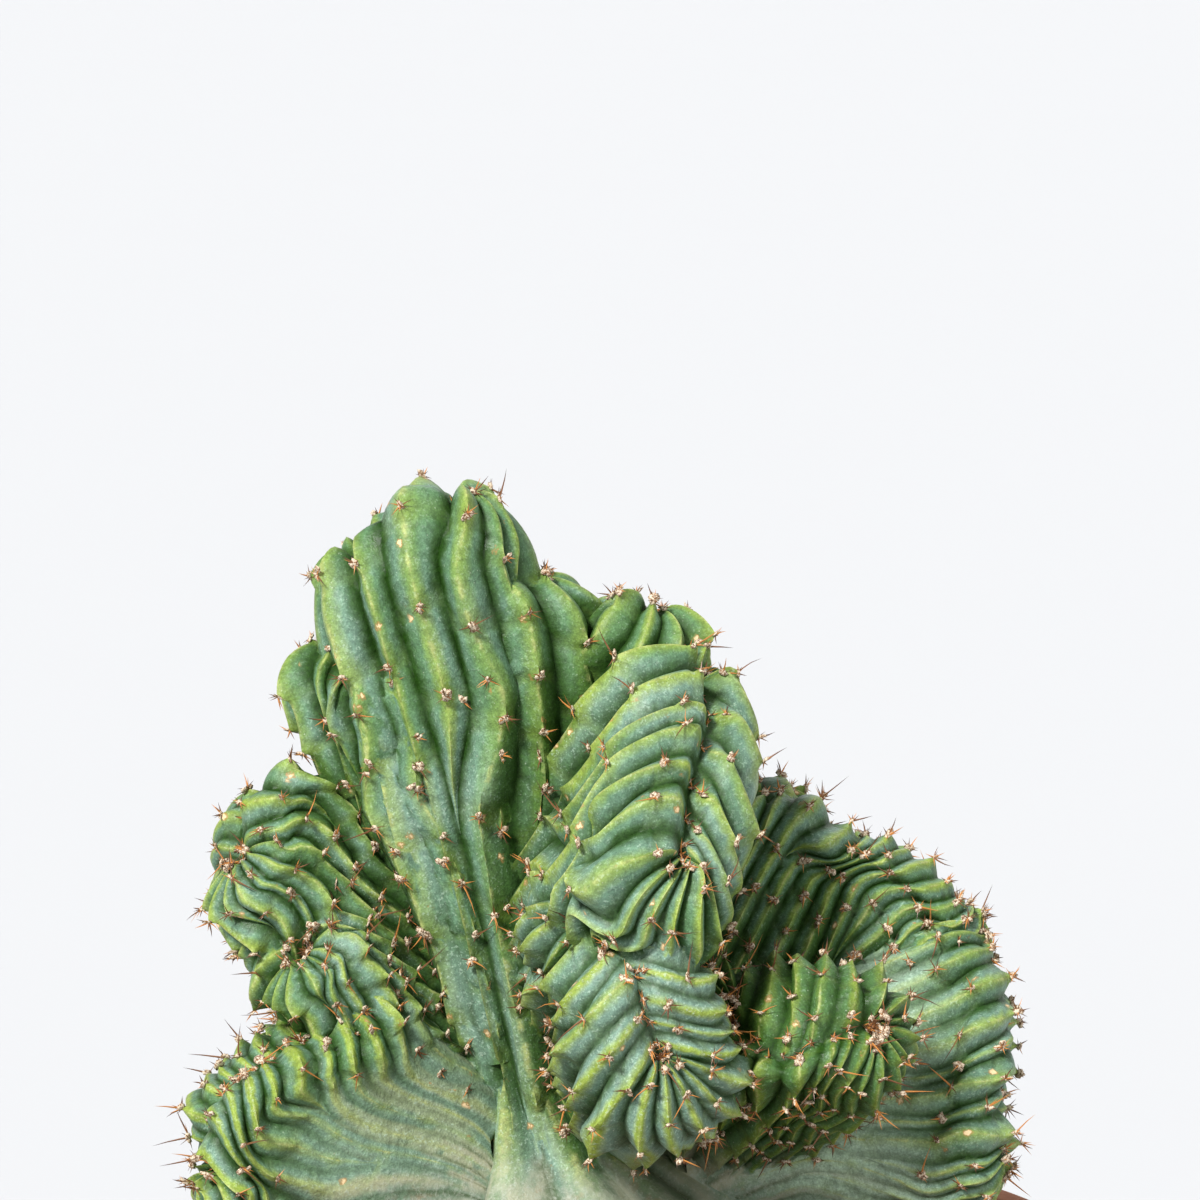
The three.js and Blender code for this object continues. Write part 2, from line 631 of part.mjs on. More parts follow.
function mixGeometry(crest) {
  const top = [1, 0.96, 0.9, 0.82, 0.72, 0.62].map((share) => {
    const r = share === 1 ? innerRadius(mixHeight(innerRim)) - FIT_GAP : innerRim * share;
    return [r, mixHeight(r)];
  });
  const foot = POT_WALL + FIT_GAP;
  const profile = [[0, foot], [innerRadius(foot) - FIT_GAP, foot], ...top, [0, mixHeight(0)]];
  let mix = solid(lathe(profile, MIX_SIDES));
  const holeRadius = STEM_RADIUS + STEM_HOLE_GAP;
  const holeDepth = 2 * STEM_DEPTH;
  const hole = new THREE.CylinderGeometry(holeRadius, holeRadius, holeDepth, HOLE_SIDES);
  hole.rotateX(Math.PI / 2);
  hole.translate(STEM_X, 0, CREST_BASE - STEM_DEPTH - STEM_HOLE_GAP + holeDepth / 2);
  grainPlaces(crest).forEach((place, i) => {
    mix = mix.add(grainSolid(place, i));
  });
  return oneBody(mix.subtract(solid(hole)));
}

function part(name, geometry, color, roughness) {
  const mesh = new THREE.Mesh(geometry, new THREE.MeshStandardMaterial({ color, roughness, metalness: 0 }));
  mesh.name = name;
  return mesh;
}

const crest = crestGeometry();
const plant = new THREE.Group();
plant.add(
  part('pot', potGeometry(), 0xb5623f, 0.9),
  part('potting_mix', mixGeometry(crest), 0x3b2a20, 1),
  part('crested_cactus', crest, 0x55805a, 0.55),
);

export default plant;
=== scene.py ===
"""Looks of a crested columnar cactus in a clay pot, laid out as an add-on and run as a script."""

import json
import math
from functools import lru_cache, reduce

import bmesh
import bpy
import numpy as np
from mathutils import Matrix, Vector, noise
from mathutils.bvhtree import BVHTree
from mathutils.kdtree import KDTree

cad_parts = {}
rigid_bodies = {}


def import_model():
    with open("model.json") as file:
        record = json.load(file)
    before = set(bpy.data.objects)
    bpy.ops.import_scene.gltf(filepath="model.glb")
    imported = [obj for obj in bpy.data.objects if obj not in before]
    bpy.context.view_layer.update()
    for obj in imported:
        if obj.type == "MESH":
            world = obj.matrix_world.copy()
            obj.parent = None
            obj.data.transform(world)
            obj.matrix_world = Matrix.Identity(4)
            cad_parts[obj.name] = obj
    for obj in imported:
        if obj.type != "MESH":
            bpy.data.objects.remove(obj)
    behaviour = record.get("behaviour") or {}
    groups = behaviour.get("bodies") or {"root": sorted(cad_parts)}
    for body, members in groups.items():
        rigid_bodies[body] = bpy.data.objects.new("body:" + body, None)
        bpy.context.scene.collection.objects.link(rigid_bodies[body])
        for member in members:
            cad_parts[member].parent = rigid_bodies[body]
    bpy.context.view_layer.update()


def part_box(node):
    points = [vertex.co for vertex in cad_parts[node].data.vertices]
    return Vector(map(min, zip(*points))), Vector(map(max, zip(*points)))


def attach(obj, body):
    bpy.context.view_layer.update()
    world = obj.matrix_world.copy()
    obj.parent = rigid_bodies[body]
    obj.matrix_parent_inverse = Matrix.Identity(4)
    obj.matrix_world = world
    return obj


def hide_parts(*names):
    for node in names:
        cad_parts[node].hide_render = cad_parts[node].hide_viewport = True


bl_info = {
    "name": "Crested cactus in a clay pot",
    "version": (1, 0, 0),
    "blender": (4, 5, 0),
    "location": "3D View > Sidebar > Cactus",
    "description": "Builds the skin, spines, wool, potting mix, pot and stage of a potted crested cactus",
    "category": "Add Mesh",
}

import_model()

# Sizes are in millimetres here, and in metres on the meshes
MM = 0.001
POT_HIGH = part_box("pot")[1]
POT_TOP = POT_HIGH.z / MM
RIM_RADIUS = POT_HIGH.x / MM
POT_WALL = 8
RIM_HEIGHT = 32
RIM_STEP = 8
FOOT_RADIUS = 76
DRAIN_RADIUS = 11
MIX_BELOW_RIM = 2
MIX_RISE = 16
MOUND_SHARE = 0.62
MIX_GAP = 0.4
MIX_BUMP, MIX_BUMP_WIDTH = 1.1, 6
MIX_SUNK = 0.6
MIX_RINGS, MIX_SIDES = 90, 260
INNER_FOOT = FOOT_RADIUS - POT_WALL
INNER_RIM = RIM_RADIUS - POT_WALL - 1
CREST_BASE = POT_TOP - MIX_BELOW_RIM + MIX_RISE + 0.6
CREST_LIFT = np.array((0, 0, CREST_BASE))

# What the three folds at the left share
LEFT_TRAITS = dict(cap=0.6, foot=11, flow=(0.35, 0, -1), out=0.5, into=0.6)

# Each fold of the crest, in millimetres above the crest's base: seam is its growing line and root is
# the line in the stem that its ribs run to
FOLDS = (
    dict(name="hood", seam=[(-61, -1, 150), (-56, -2, 158), (-50, -3, 163), (-44, -4, 165), (-39, -4, 163)],
         root=[(-22, -6, 18), (-17, -8, 8)], half=[11, 13, 12], cap=1.3, foot=10, pitch=10.5, seed=11,
         flow=(0.25, 0, -1), out=0.5, into=0.6, lean=0.6, bloom=0.2, ripe=-0.3, gap=19),
    dict(name="mid", seam=[(-34, -3, 141), (-28, -1, 145), (-21, 2, 144)],
         root=[(-18, -5, 24), (-13, -5, 16)], half=[12], cap=1, foot=8, pitch=9, seed=12, out=0.5,
         lean=0.6, bloom=-0.05, ripe=-0.6, gap=17),
    dict(name="left shoulder", seam=[(-67, 5, 129), (-63, 3, 129), (-59, 0, 125)],
         root=[(-31, -1, 54), (-28, -4, 34)], half=[13], foot=11, pitch=8.5, seed=13, flow=(0.3, 0, -1),
         out=0.6, into=0.5, lean=0.5, bloom=0.2, ripe=-0.15, gap=14),
    dict(name="right shoulder", seam=[(7, 0, 138), (7, 9, 136), (6, 20, 130)],
         root=[(-17, -2, 40), (-15, 6, 38)], half=[12], foot=7, pitch=8, seed=14, lean=0.4, bloom=0.2,
         ripe=-0.2),
    dict(name="upper head",
         seam=[(18, -12, 124), (21, -26, 118), (19, -40, 112), (16, -50, 104), (15, -58, 96), (14, -60, 92)],
         root=[(-23, -6, 74), (-20, -8, 54)], half=[15, 19, 20], foot=9, pitch=10, seed=15, slant=0.6,
         bloom=0.45, ripe=0.1, crowd=0.45, jag=0.35),
    # The lower head's high bloom is partly painted light: it makes the skin paler where the upper head shades
    # it
    dict(name="lower head", seam=[(-6, -50, 76), (0, -62, 72), (3, -68, 66), (4, -70, 60), (8, -68, 48)],
         root=[(-5, -8, 44), (-1, -8, 26)], half=[15, 19, 19], foot=14, pitch=7.4, seed=16, slant=0.5,
         bloom=0.8, ripe=0.35, crowd=0.2, gap=12, jag=0.6),
    dict(name="right head", seam=[(25, -40, 50), (30, -48, 47), (37, -54, 44), (46, -54, 49), (56, -48, 50)],
         root=[(13, -8, 21), (27, -4, 15)], half=[14, 15, 14], foot=12, pitch=5, seed=17, bloom=-0.4, gap=9,
         jag=0.7),
    dict(name="right fan",
         seam=[(34, 24, 88), (43, 26, 88), (52, 24, 80), (62, 26, 78), (72, 24, 72), (80, 20, 64)],
         root=[(4, 5, 32), (18, 5, 8)], half=[12], foot=14, pitch=6, seed=18, bloom=0.2, gap=12, jag=0.6),
    dict(name="right low", seam=[(85, 14, 54), (90, 8, 46), (91, 0, 34), (88, -6, 23), (88, -10, 12)],
         root=[(16, 0, 24), (16, -5, 4)], half=[13], foot=13, pitch=5.5, seed=19, bloom=0.5, gap=13, jag=0.6,
         flat=0.9, flat_from=0.35),
    LEFT_TRAITS | dict(
        name="left fan",
        seam=[(-69, 8, 88), (-75, 4, 94), (-83, 0, 96), (-88, -4, 92), (-90, -6, 86), (-88, -10, 81)],
        root=[(-36, 4, 52), (-32, 2, 20)], half=[13], pitch=6, seed=20, bloom=0.2, gap=11, jag=0.65),
    LEFT_TRAITS | dict(
        name="left mid", seam=[(-82, -12, 70), (-79, -15, 68), (-76, -18, 65), (-74, -20, 61)],
        root=[(-36, -3, 34), (-34, -4, 6)], half=[12], pitch=5.5, seed=21, bloom=0.4, gap=8, jag=0.8),
    LEFT_TRAITS | dict(
        name="left low",
        seam=[(-66, -22, 45), (-77, -28, 41), (-86, -34, 37), (-93, -36, 31), (-96, -36, 23), (-94, -33, 14)],
        root=[(-35, -8, 16), (-32, -12, -6)], half=[13], foot=12, pitch=6, seed=22, flow=(0.4, 0, -1),
        out=0.45, into=0.5, bloom=0.3, ripe=0.8, gap=10, jag=0.6, flat=0.95, flat_from=0.3),
    dict(name="back high", seam=[(-34, 34, 98), (-12, 42, 104), (14, 43, 100), (36, 38, 88)],
         root=[(-22, 8, 34), (2, 8, 26)], half=[14], foot=12, pitch=7, seed=31, bloom=0.3),
    dict(name="back left", seam=[(-80, 18, 36), (-74, 36, 44), (-56, 52, 46), (-32, 62, 42)],
         root=[(-30, 4, 22), (-10, 6, 12)], half=[14], foot=13, pitch=7, seed=32, bloom=0.25),
    dict(name="back right", seam=[(-6, 66, 34), (20, 64, 42), (48, 54, 46), (70, 40, 42)],
         root=[(-6, 6, 14), (18, 4, 18)], half=[14], foot=13, pitch=7, seed=33, bloom=0.25),
)
# half is a fold's half width along its seam and foot that at its root, pitch the distance between ribs, gap
# that between areoles, and cap how tall its domed edge is for its width. flow is the way its skin reaches the
# stem, and out and into how strongly it leaves the edge and arrives. slant turns the ribs and crowd gathers
# them at the tip, short is the share that may stop early, lean sharpens them, jag notches them, and flat
# flattens them from flat_from on. bloom is how waxy and pale the skin is, and ripe how yellow its ridges are.
# A high bloom also paints light: on the lower head where the upper head shades it, and on a flattened skirt
FOLD_DEFAULTS = dict(cap=0.75, groove=3, short=0.45, out=0.3, into=0.4, flow=None, lean=0.2, slant=0,
                     crowd=0, gap=15, jag=0.45, flat=0.35, flat_from=0.55, ripe=0)
FLATTEN_RUN = 0.35
CAP_SHARE = 0.36
GROOVE_WIDTH = 3.2
WIDEST_RIB = 10
FEWEST_RIBS = 7
RIB_HEIGHT = 0.55
LUMP_WIDTH, LUMP_HEIGHT = 26, 0.6
AREOLE_PHASE = 0.9
NO_STOP = 9.0

# Steps in a fold's tables: along its seam, once round it, and from seam to root
TABLE = 81
LOOP_STEPS = 240
GIRTH_STEPS = 120
RUN_STEPS = 40

# The stem's height, middle, half width and half depth at each station, from its top down
STEM_STATIONS = (
    (60, -22, 6, 8), (42, -22, 11, 12), (26, -20, 17, 17),
    (12, -15, 27, 23), (3, -10, 40, 29), (-3, -8, 44, 31),
)
STEM_RIBS = 17
STEM_REACH, STEM_RIB_DEPTH = 0.93, 0.18
STEM_SIDES, STEM_STEPS = 168, 40
STEM_AGE, STEM_BLOOM = 0.9, 0.5

# The skin: its grid's columns across a rib and step down it, its triangles when joined, the angle from which
# its edges are sharp, its low end, its cork, and the rays that feel how sheltered it is
FINE_GRID, QUICK_GRID = (12, 0.95), (8, 1.7)
SKIN_LIMIT = 195000
SKIN_CREASE = 65
LOWEST_SKIN = -2.2
CORK_MIDDLE, CORK_HEIGHT, CORK_REACH = (-15, -8), (-4, 28), (34, 85)
SHELTER_RAYS = 9
SHELTER_REACH = 32

# Areoles lie this near the skin and above the mix. Young ones, at the seam, are smaller
ON_SKIN, LOWEST_AREOLE, YOUNG = 1.3, 3, 0.6
PADS_PER_AREOLE = 3
RADIAL_SPINES, CENTRAL_SPINES = (4, 8), (1, 3)
LONG_STATIONS = (0, 0.25, 0.6)

# Grains of the mix: their sizes, and how tall they are for their size
PEAT_GRAINS = (0.7, 2.6), (0.45, 1.0)
CHIP_GRAINS = (2.0, 4.5), (0.25, 0.6)
GRIT_GRAINS = (1.0, 2.3), (0.7, 1.0)
PEAT_PER_CHIP = 6
GOLDEN_ANGLE = math.pi * (3 - math.sqrt(5))

# The photograph's frame in pixels, and the size of one of its pixels at the plant
PHOTO_MIDDLE = 600
POT_AXIS_COLUMN = 623
PIXEL = 0.23
AIM_ABOVE_BASE = 139
SENSOR = 36
FLOOR_RADIUS = 40
FLOOR_DROP = 0.0004

# Each lamp's azimuth, height and softness in degrees, and its power
LAMPS = {"key": (-34, 41, 11, 5.3), "fill": (50, 30, 50, 0.95), "rear": (170, 40, 50, 0.8)}
SKY_LOW, SKY_HIGH = (0.915, 0.93, 0.955), (0.19, 0.20, 0.215)
SKY_STEP = (0.18, 0.3)

# Colours that stay the same when a user changes the others
# The first colour is a pale painted highlight along each ridge
RIDGE_HIGHLIGHT = (0.38, 0.41, 0.14)
WAX_DUST = (0.36, 0.47, 0.37)
PALE_SPECK = (0.50, 0.56, 0.42)
# The last skirt colour is painted light on a waxy fold's skirt
SKIRT_GREEN, SKIRT_WARM, SKIRT_PAINTED_LIGHT = (0.17, 0.265, 0.185), (0.30, 0.35, 0.20), (0.42, 0.56, 0.40)
# The cork's grooves and sheltered places get painted shade
BARK_PATCH, BARK_GROOVE_SHADE = (0.26, 0.18, 0.10), (0.06, 0.085, 0.03)
BARK_DUST, BARK_SHADE = (0.42, 0.43, 0.36), (0.07, 0.085, 0.04)
SCAR_RIM, SCAR_DARK, SCAR_PALE = (0.34, 0.19, 0.06), (0.68, 0.45, 0.2), (0.82, 0.68, 0.45)
CLAY_SPECK, CLAY_LIME = (0.30, 0.12, 0.06), (0.68, 0.53, 0.42)
CHIP_DARK, CHIP_PALE = (0.06, 0.03, 0.018), (0.30, 0.17, 0.09)
GRIT_DARK = (0.55, 0.52, 0.46)


def draw(*keys):
    """A repeatable random number from 0 to 1."""
    x = math.sin(sum(k * f for k, f in zip(keys, (12.9898, 78.233, 37.719, 53.127)))) * 43758.5453
    return x - math.floor(x)


def unit(v):
    """The same directions with a length of 1."""
    return v / np.maximum(np.linalg.norm(v, axis=-1, keepdims=True), 1e-9)


def ease(low, high, x):
    """A smooth step from 0 at low to 1 at high."""
    t = np.clip((x - low) / (high - low), 0, 1)
    return t * t * (3 - 2 * t)


def turns(count):
    """Even angles once round."""
    return np.linspace(0, 2 * math.pi, count, endpoint=False)


def rings(radii, heights, sides):
    """Rings of points round Z, one for each radius and height."""
    angle = turns(sides)
    radii, heights = (np.array(one, float)[:, None] for one in (radii, heights))
    return np.stack(np.broadcast_arrays(radii * np.cos(angle), radii * np.sin(angle), heights), -1)


def girth(points):
    """The length round each row of points."""
    return np.linalg.norm(np.diff(points, axis=1, append=points[:, :1]), axis=2).sum(1)[:, None]


def cell_corners(index):
    """The corners of each cell between rows of point numbers that close into rings: here, next in the
    row, and both one row on."""
    after = np.roll(index, -1, 1)
    return index[:-1], after[:-1], after[1:], index[1:]


def triangles(a, b, c):
    """Triangles from arrays of point numbers, where one of them may be a single number."""
    return np.stack(np.broadcast_arrays(a, b, c), -1).reshape(-1, 3)


def lumps(points, wavelength, seed):
    """A smooth random field, about -1 to 1, from crossed waves."""
    rng = np.random.default_rng(seed)
    total = np.zeros(points.shape[:-1])
    for _ in range(7):
        way = unit(rng.normal(size=3))
        length = wavelength * rng.uniform(0.7, 1.5)
        total += np.sin(points @ way * 2 * math.pi / length + rng.uniform(0, 6.28))
    return total / 3.5


def even_points(points, count):
    """Evenly spaced points on a smooth curve through the given ones."""
    p = np.array(points, float)
    if len(p) == 2:
        return p[0] + np.linspace(0, 1, count)[:, None] * (p[1] - p[0])
    ext = np.vstack([2 * p[0] - p[1], p, 2 * p[-1] - p[-2]])
    t = np.linspace(0, 1, 24, endpoint=False)[:, None]
    runs = []
    for a, b, c, d in zip(ext, ext[1:], ext[2:], ext[3:]):
        square = (2 * a - 5 * b + 4 * c - d) * t ** 2
        cube = (3 * b - a - 3 * c + d) * t ** 3
        runs.append(0.5 * (2 * b + (c - a) * t + square + cube))
    q = np.vstack(runs + [p[-1:]])
    s = np.concatenate([[0], np.cumsum(np.linalg.norm(np.diff(q, axis=0), axis=1))])
    want = np.linspace(0, s[-1], count)
    return np.stack([np.interp(want, s, q[:, k]) for k in range(3)], 1)


class Fold:
    """One fold of the crest. Its skin starts at the seam, goes over a rounded edge to the shoulder, and
    runs in along the ribs to the root. share goes once round it, and u goes from seam to root."""

    def __init__(self, spec):
        vars(self).update(FOLD_DEFAULTS)
        vars(self).update(spec)
        self.P = even_points(self.seam, TABLE)
        self.R = even_points(self.root, TABLE)
        self.length = np.linalg.norm(np.diff(self.P, axis=0), axis=1).sum()
        self.set_axes()
        self.widths = np.interp(np.linspace(0, 1, TABLE), np.linspace(0, 1, len(self.half)), self.half)
        self.w0, self.w1 = self.half[0], self.half[-1]
        self.loop = 2 * self.length + math.pi * (self.w0 + self.w1)
        self.even_ring()
        self.plan_ribs()

    def set_axes(self):
        """Facing U points away from the root, N is the sheet's side and T runs along the seam."""
        heading = unit(np.gradient(self.P, axis=0))
        facing = unit(self.P - self.R)
        sides = unit(np.cross(heading, facing))
        self.N = unit(0.1 * sides + 0.9 * unit(sides.mean(0)))
        self.U = unit(facing - self.N * (facing * self.N).sum(1, keepdims=True))
        self.T = unit(np.cross(self.U, self.N))
        chord = self.P[0] + np.linspace(0, 1, TABLE)[:, None] * (self.P[-1] - self.P[0])
        self.sway = ((self.P - chord) * self.N).sum(1, keepdims=True) * self.N
        self.F = -self.U if self.flow is None else np.repeat(unit(np.array([self.flow], float)), TABLE, 0)

    def even_ring(self):
        """Makes equal shares of the loop equally long at the shoulder."""
        self.even = None
        grid = np.linspace(0, 1, LOOP_STEPS + 1)
        ring = self.base(np.full(LOOP_STEPS + 1, CAP_SHARE + 0.06), np.minimum(grid, 0.9999999))
        run = np.concatenate([[0], np.cumsum(np.linalg.norm(np.diff(ring, axis=0), axis=1))])
        self.even = (run / run[-1], grid)
        self.ribs = max(FEWEST_RIBS, int(round(run[-1] / self.pitch)))

    def plan_ribs(self):
        """Random widths and heights, ribs that stop short, and where each rib's areoles lie."""
        n = self.ribs
        tip = (self.length + math.pi * self.w1 / 2) / self.loop
        width, short, stop, first, tall, bend, swing = (
            np.array([draw(i, self.seed, key) for i in range(n)]) for key in range(1, 8))
        self.width = 0.6 + 0.8 * width
        self.width *= 1 - self.crowd * np.exp(-((np.arange(n) / n - tip) / 0.14) ** 2)
        self.swing = 4 + 5 * swing
        self.stop = np.full(n, NO_STOP)
        for i in range(n - 1):
            if short[i] < self.short and (i == 0 or self.stop[i - 1] == NO_STOP):
                self.stop[i] = 0.42 + 0.4 * stop[i]
        self.first = self.gap * (0.2 + 0.6 * first)
        self.spacing = self.gap * (1 + 0.5 * (first - 0.5))
        self.tall = 0.85 + 0.3 * tall
        self.bend = 2 * math.pi * bend
        self.levels = np.linspace(0, 1, RUN_STEPS + 1)
        edges = self.edges(self.levels)
        middle = (edges[:, 1:] + edges[:, :-1]) / 2
        line = self.base(np.broadcast_to(self.levels[:, None], middle.shape), middle)
        steps = np.linalg.norm(np.diff(line, axis=0), axis=2)
        self.run = np.concatenate([np.zeros((1, n)), np.cumsum(steps, 0)])

    def edges(self, u):
        """The edges between ribs as shares of the loop, for each row."""
        u = np.asarray(u)[:, None]
        widths = self.width * (1 + 0.25 * np.sin(self.bend * 3 + u * self.swing))
        widths = widths * (1 - ease(self.stop - 0.16, self.stop, u))
        total = np.concatenate([np.zeros((len(u), 1)), np.cumsum(widths, 1)], 1)
        return total / total[:, -1:]

    def place(self, share):
        """How far along the seam a share of the loop lies, and the angle round its end."""
        share = share % 1.0
        if self.even is not None:
            share = np.interp(share, *self.even)
        l = np.minimum(share, 0.999999) * self.loop
        turn = math.pi * self.w1
        s = np.where(l < self.length, l / self.length, 1)
        s = np.where(l >= self.length + turn, 1 - (l - self.length - turn) / self.length, s)
        angle = np.clip((l - self.length) / self.w1, 0, math.pi)
        second = math.pi + (l - 2 * self.length - turn) / self.w0
        narrow = self.slant + (math.pi - 2 * self.slant) * angle / math.pi
        wide = math.pi - self.slant + (math.pi + 2 * self.slant) * (second / math.pi - 1)
        return np.clip(s, 0, 1), np.where(l >= 2 * self.length + turn, wide, narrow)

    def base(self, u, share, groove=1.0):
        """The smooth skin under the ribs."""
        s, angle = self.place(share)
        x = s * (TABLE - 1)
        i = np.clip(x.astype(int), 0, TABLE - 2)
        t = (x - i)[..., None]
        P, T, U, N, R, F, sway, half = (
            a[i] * (1 - t) + a[i + 1] * t
            for a in (self.P, self.T, self.U, self.N, self.R, self.F, self.sway, self.widths[:, None]))
        angle, u = angle[..., None], u[..., None]
        P = P - sway * ease(0, CAP_SHARE, u)
        D = np.cos(angle) * N + np.sin(angle) * T
        depth = half * self.cap
        theta = np.clip(u / CAP_SHARE, 0, 1) * math.pi / 2
        across = half * np.sin(theta)
        sink = depth * (np.cos(theta) - 1) - self.groove * groove * np.exp(-(across / GROOVE_WIDTH) ** 2)
        S = P + D * half - U * depth
        side = unit(D - F * (D * F).sum(-1, keepdims=True) * 0.8)
        Q = R + side * self.foot
        t = np.clip((u - CAP_SHARE) / (1 - CAP_SHARE), 0, 1)
        gap = np.linalg.norm(Q - S, axis=-1, keepdims=True)
        wall = (S * (2 * t ** 3 - 3 * t ** 2 + 1) - U * gap * self.out * (t ** 3 - 2 * t ** 2 + t)
                + Q * (3 * t ** 2 - 2 * t ** 3) + F * gap * self.into * (t ** 3 - t ** 2))
        return np.where(u <= CAP_SHARE, P + D * across + U * sink, wall)

    def normal(self, u, share):
        """The way out of the smooth skin, without its groove."""
        lower, upper = np.minimum(u + 0.004, 1), np.maximum(u - 0.004, 0.002)
        down = self.base(lower, share, 0) - self.base(upper, share, 0)
        along = self.base(u, share + 0.002, 0) - self.base(u, share - 0.002, 0)
        return unit(np.cross(down, along))

    def girth_at(self, levels):
        """The length round the fold at each level."""
        share = np.linspace(0, 1, GIRTH_STEPS, endpoint=False)
        return girth(self.base(*np.broadcast_arrays(levels[:, None], share)))

    def skirt(self, u):
        """Where the ribs of a flattened fold die away, from 0 to 1."""
        return (self.flat > 0.5) * ease(self.flat_from, self.flat_from + FLATTEN_RUN, u)

    def phase(self, u, rib):
        """How many areoles lie between the seam and a place on a rib."""
        along = np.empty(np.broadcast(u, rib).shape)
        for k in range(self.ribs):
            here = np.broadcast_to(rib, along.shape) == k
            along[here] = np.interp(np.broadcast_to(u, along.shape)[here], self.levels, self.run[:, k])
        return (along - self.first[rib]) / self.spacing[rib]

    def skin(self, u, rib, local, ring=None):
        """Points of the ribbed skin and what its colours follow. local goes from -1 to 1 across a rib, and
        ring is the length round each row, worked out where the points given go all the way round."""
        edges = self.edges(u)
        low = np.take_along_axis(edges, rib, 1)
        high = np.take_along_axis(edges, rib + 1, 1)
        u = np.broadcast_to(np.asarray(u)[:, None], rib.shape)
        sway = 0.12 * np.sin(u * 6 + self.bend[rib]) * (1 - local ** 2)
        share = low + (high - low) * (local + 1 + sway) / 2
        base = self.base(u, share)
        normal = self.normal(u, share)
        if ring is None:
            ring = girth(base)
        phase = self.phase(u, rib)
        q = phase - np.floor(phase)
        x = np.abs(local)
        peak = np.exp(-((q - AREOLE_PHASE) / 0.12) ** 2)
        rise = q ** 1.6 * (1 - ease(AREOLE_PHASE, 1, q))
        notch = self.tall[rib] * (1 - 0.6 * self.jag + self.jag * rise)
        lean = self.lean * ease(0.3, 0.85, u)
        full = 0.5 * (1 - x ** 1.8) + 0.5 * (1 - x) ** 1.1
        sharp = 0.9 * (1 - x) ** 1.5 + 0.1 * np.exp(-(x / 0.16) ** 2)
        profile = ((1 - lean) * full + lean * sharp) ** (1 + 1.2 * peak)
        fade = ease(0, 0.07, u) * (1 - self.flat * ease(self.flat_from, self.flat_from + FLATTEN_RUN, u))
        wide = np.minimum((high - low) * ring, WIDEST_RIB)
        points = base + normal * (RIB_HEIGHT * wide * fade * profile * notch)[..., None]
        return points, dict(ridge=1 - x, age=u, chin=peak * (1 - x), normal=normal)


@lru_cache(maxsize=None)
def crest_folds():
    """All folds, worked out once."""
    return tuple(Fold(spec) for spec in FOLDS)


def fold_mesh(fold, columns, step):
    """One fold's fine closed mesh: the ribbed grid, a strip that closes the seam and a fan at the root."""
    rows = np.concatenate([
        np.linspace(0.02, CAP_SHARE, max(12, int(np.mean(fold.widths) * 1.6 / step))),
        np.linspace(CAP_SHARE, 1, max(20, int(fold.run[-1].mean() * 0.8 / step)))[1:],
    ])
    around = fold.ribs * columns
    rib = np.broadcast_to(np.repeat(np.arange(fold.ribs), columns), (len(rows), around))
    local = np.tile(np.linspace(-1, 1, columns, endpoint=False), (len(rows), fold.ribs))
    points, look = fold.skin(rows, rib, local)
    points = points + look["normal"] * (lumps(points, LUMP_WIDTH, 5) * LUMP_HEIGHT)[..., None]
    count = max(2, int(fold.length / step))
    k = np.linspace(0, TABLE - 1, count).round().astype(int)
    seam = fold.P[k] - fold.U[k] * fold.groove
    verts = np.vstack([points.reshape(-1, 3), seam, points[-1].mean(0)[None]])
    index = np.arange(len(rows) * around).reshape(len(rows), around)
    a, b, c, d = cell_corners(index)
    tris = [triangles(a, c, b), triangles(a, d, c), triangles(d[-1], len(verts) - 1, c[-1])]
    edges = fold.edges(rows[:1])[0]
    share = edges[rib[0]] + (edges[rib[0] + 1] - edges[rib[0]]) * (local[0] + 1) / 2
    nearest = np.round(fold.place(share)[0] * (count - 1)).astype(int)
    strip = []
    for i in range(around):
        j = (i + 1) % around
        start, end = nearest[i], nearest[j]
        strip.append((i, j, index.size + end))
        way = 1 if end > start else -1
        strip += [(i, index.size + m + way, index.size + m) for m in range(start, end, way)]
    tris.append(np.array(strip))
    streaks = np.broadcast_arrays(rib + local / 2, rows[:, None] * 0.8, fold.seed)
    look["streak"] = lumps(np.stack(streaks, -1), 0.7, 3)
    look["skirt"] = np.repeat(fold.skirt(rows), around)
    unlooked = np.zeros(len(verts) - index.size)
    look = {name: np.append(look[name], unlooked) for name in ("ridge", "age", "chin", "streak", "skirt")}
    look["age"][-1] = 1
    look.update(bloom=np.full(len(verts), float(fold.bloom)), ripe=np.full(len(verts), float(fold.ripe)))
    return weld(verts, np.vstack(tris), look)


def weld(verts, tris, look):
    """Joins points that fall together and drops the triangles that vanish."""
    key = np.round(verts / 1e-4).astype(np.int64)
    _, first, inverse = np.unique(key, axis=0, return_index=True, return_inverse=True)
    tris = first[inverse.reshape(-1)][tris]
    kept = (tris[:, 0] != tris[:, 1]) & (tris[:, 1] != tris[:, 2]) & (tris[:, 2] != tris[:, 0])
    used, tris = np.unique(tris[kept], return_inverse=True)
    return verts[used], tris.reshape(-1, 3), {name: values[used] for name, values in look.items()}


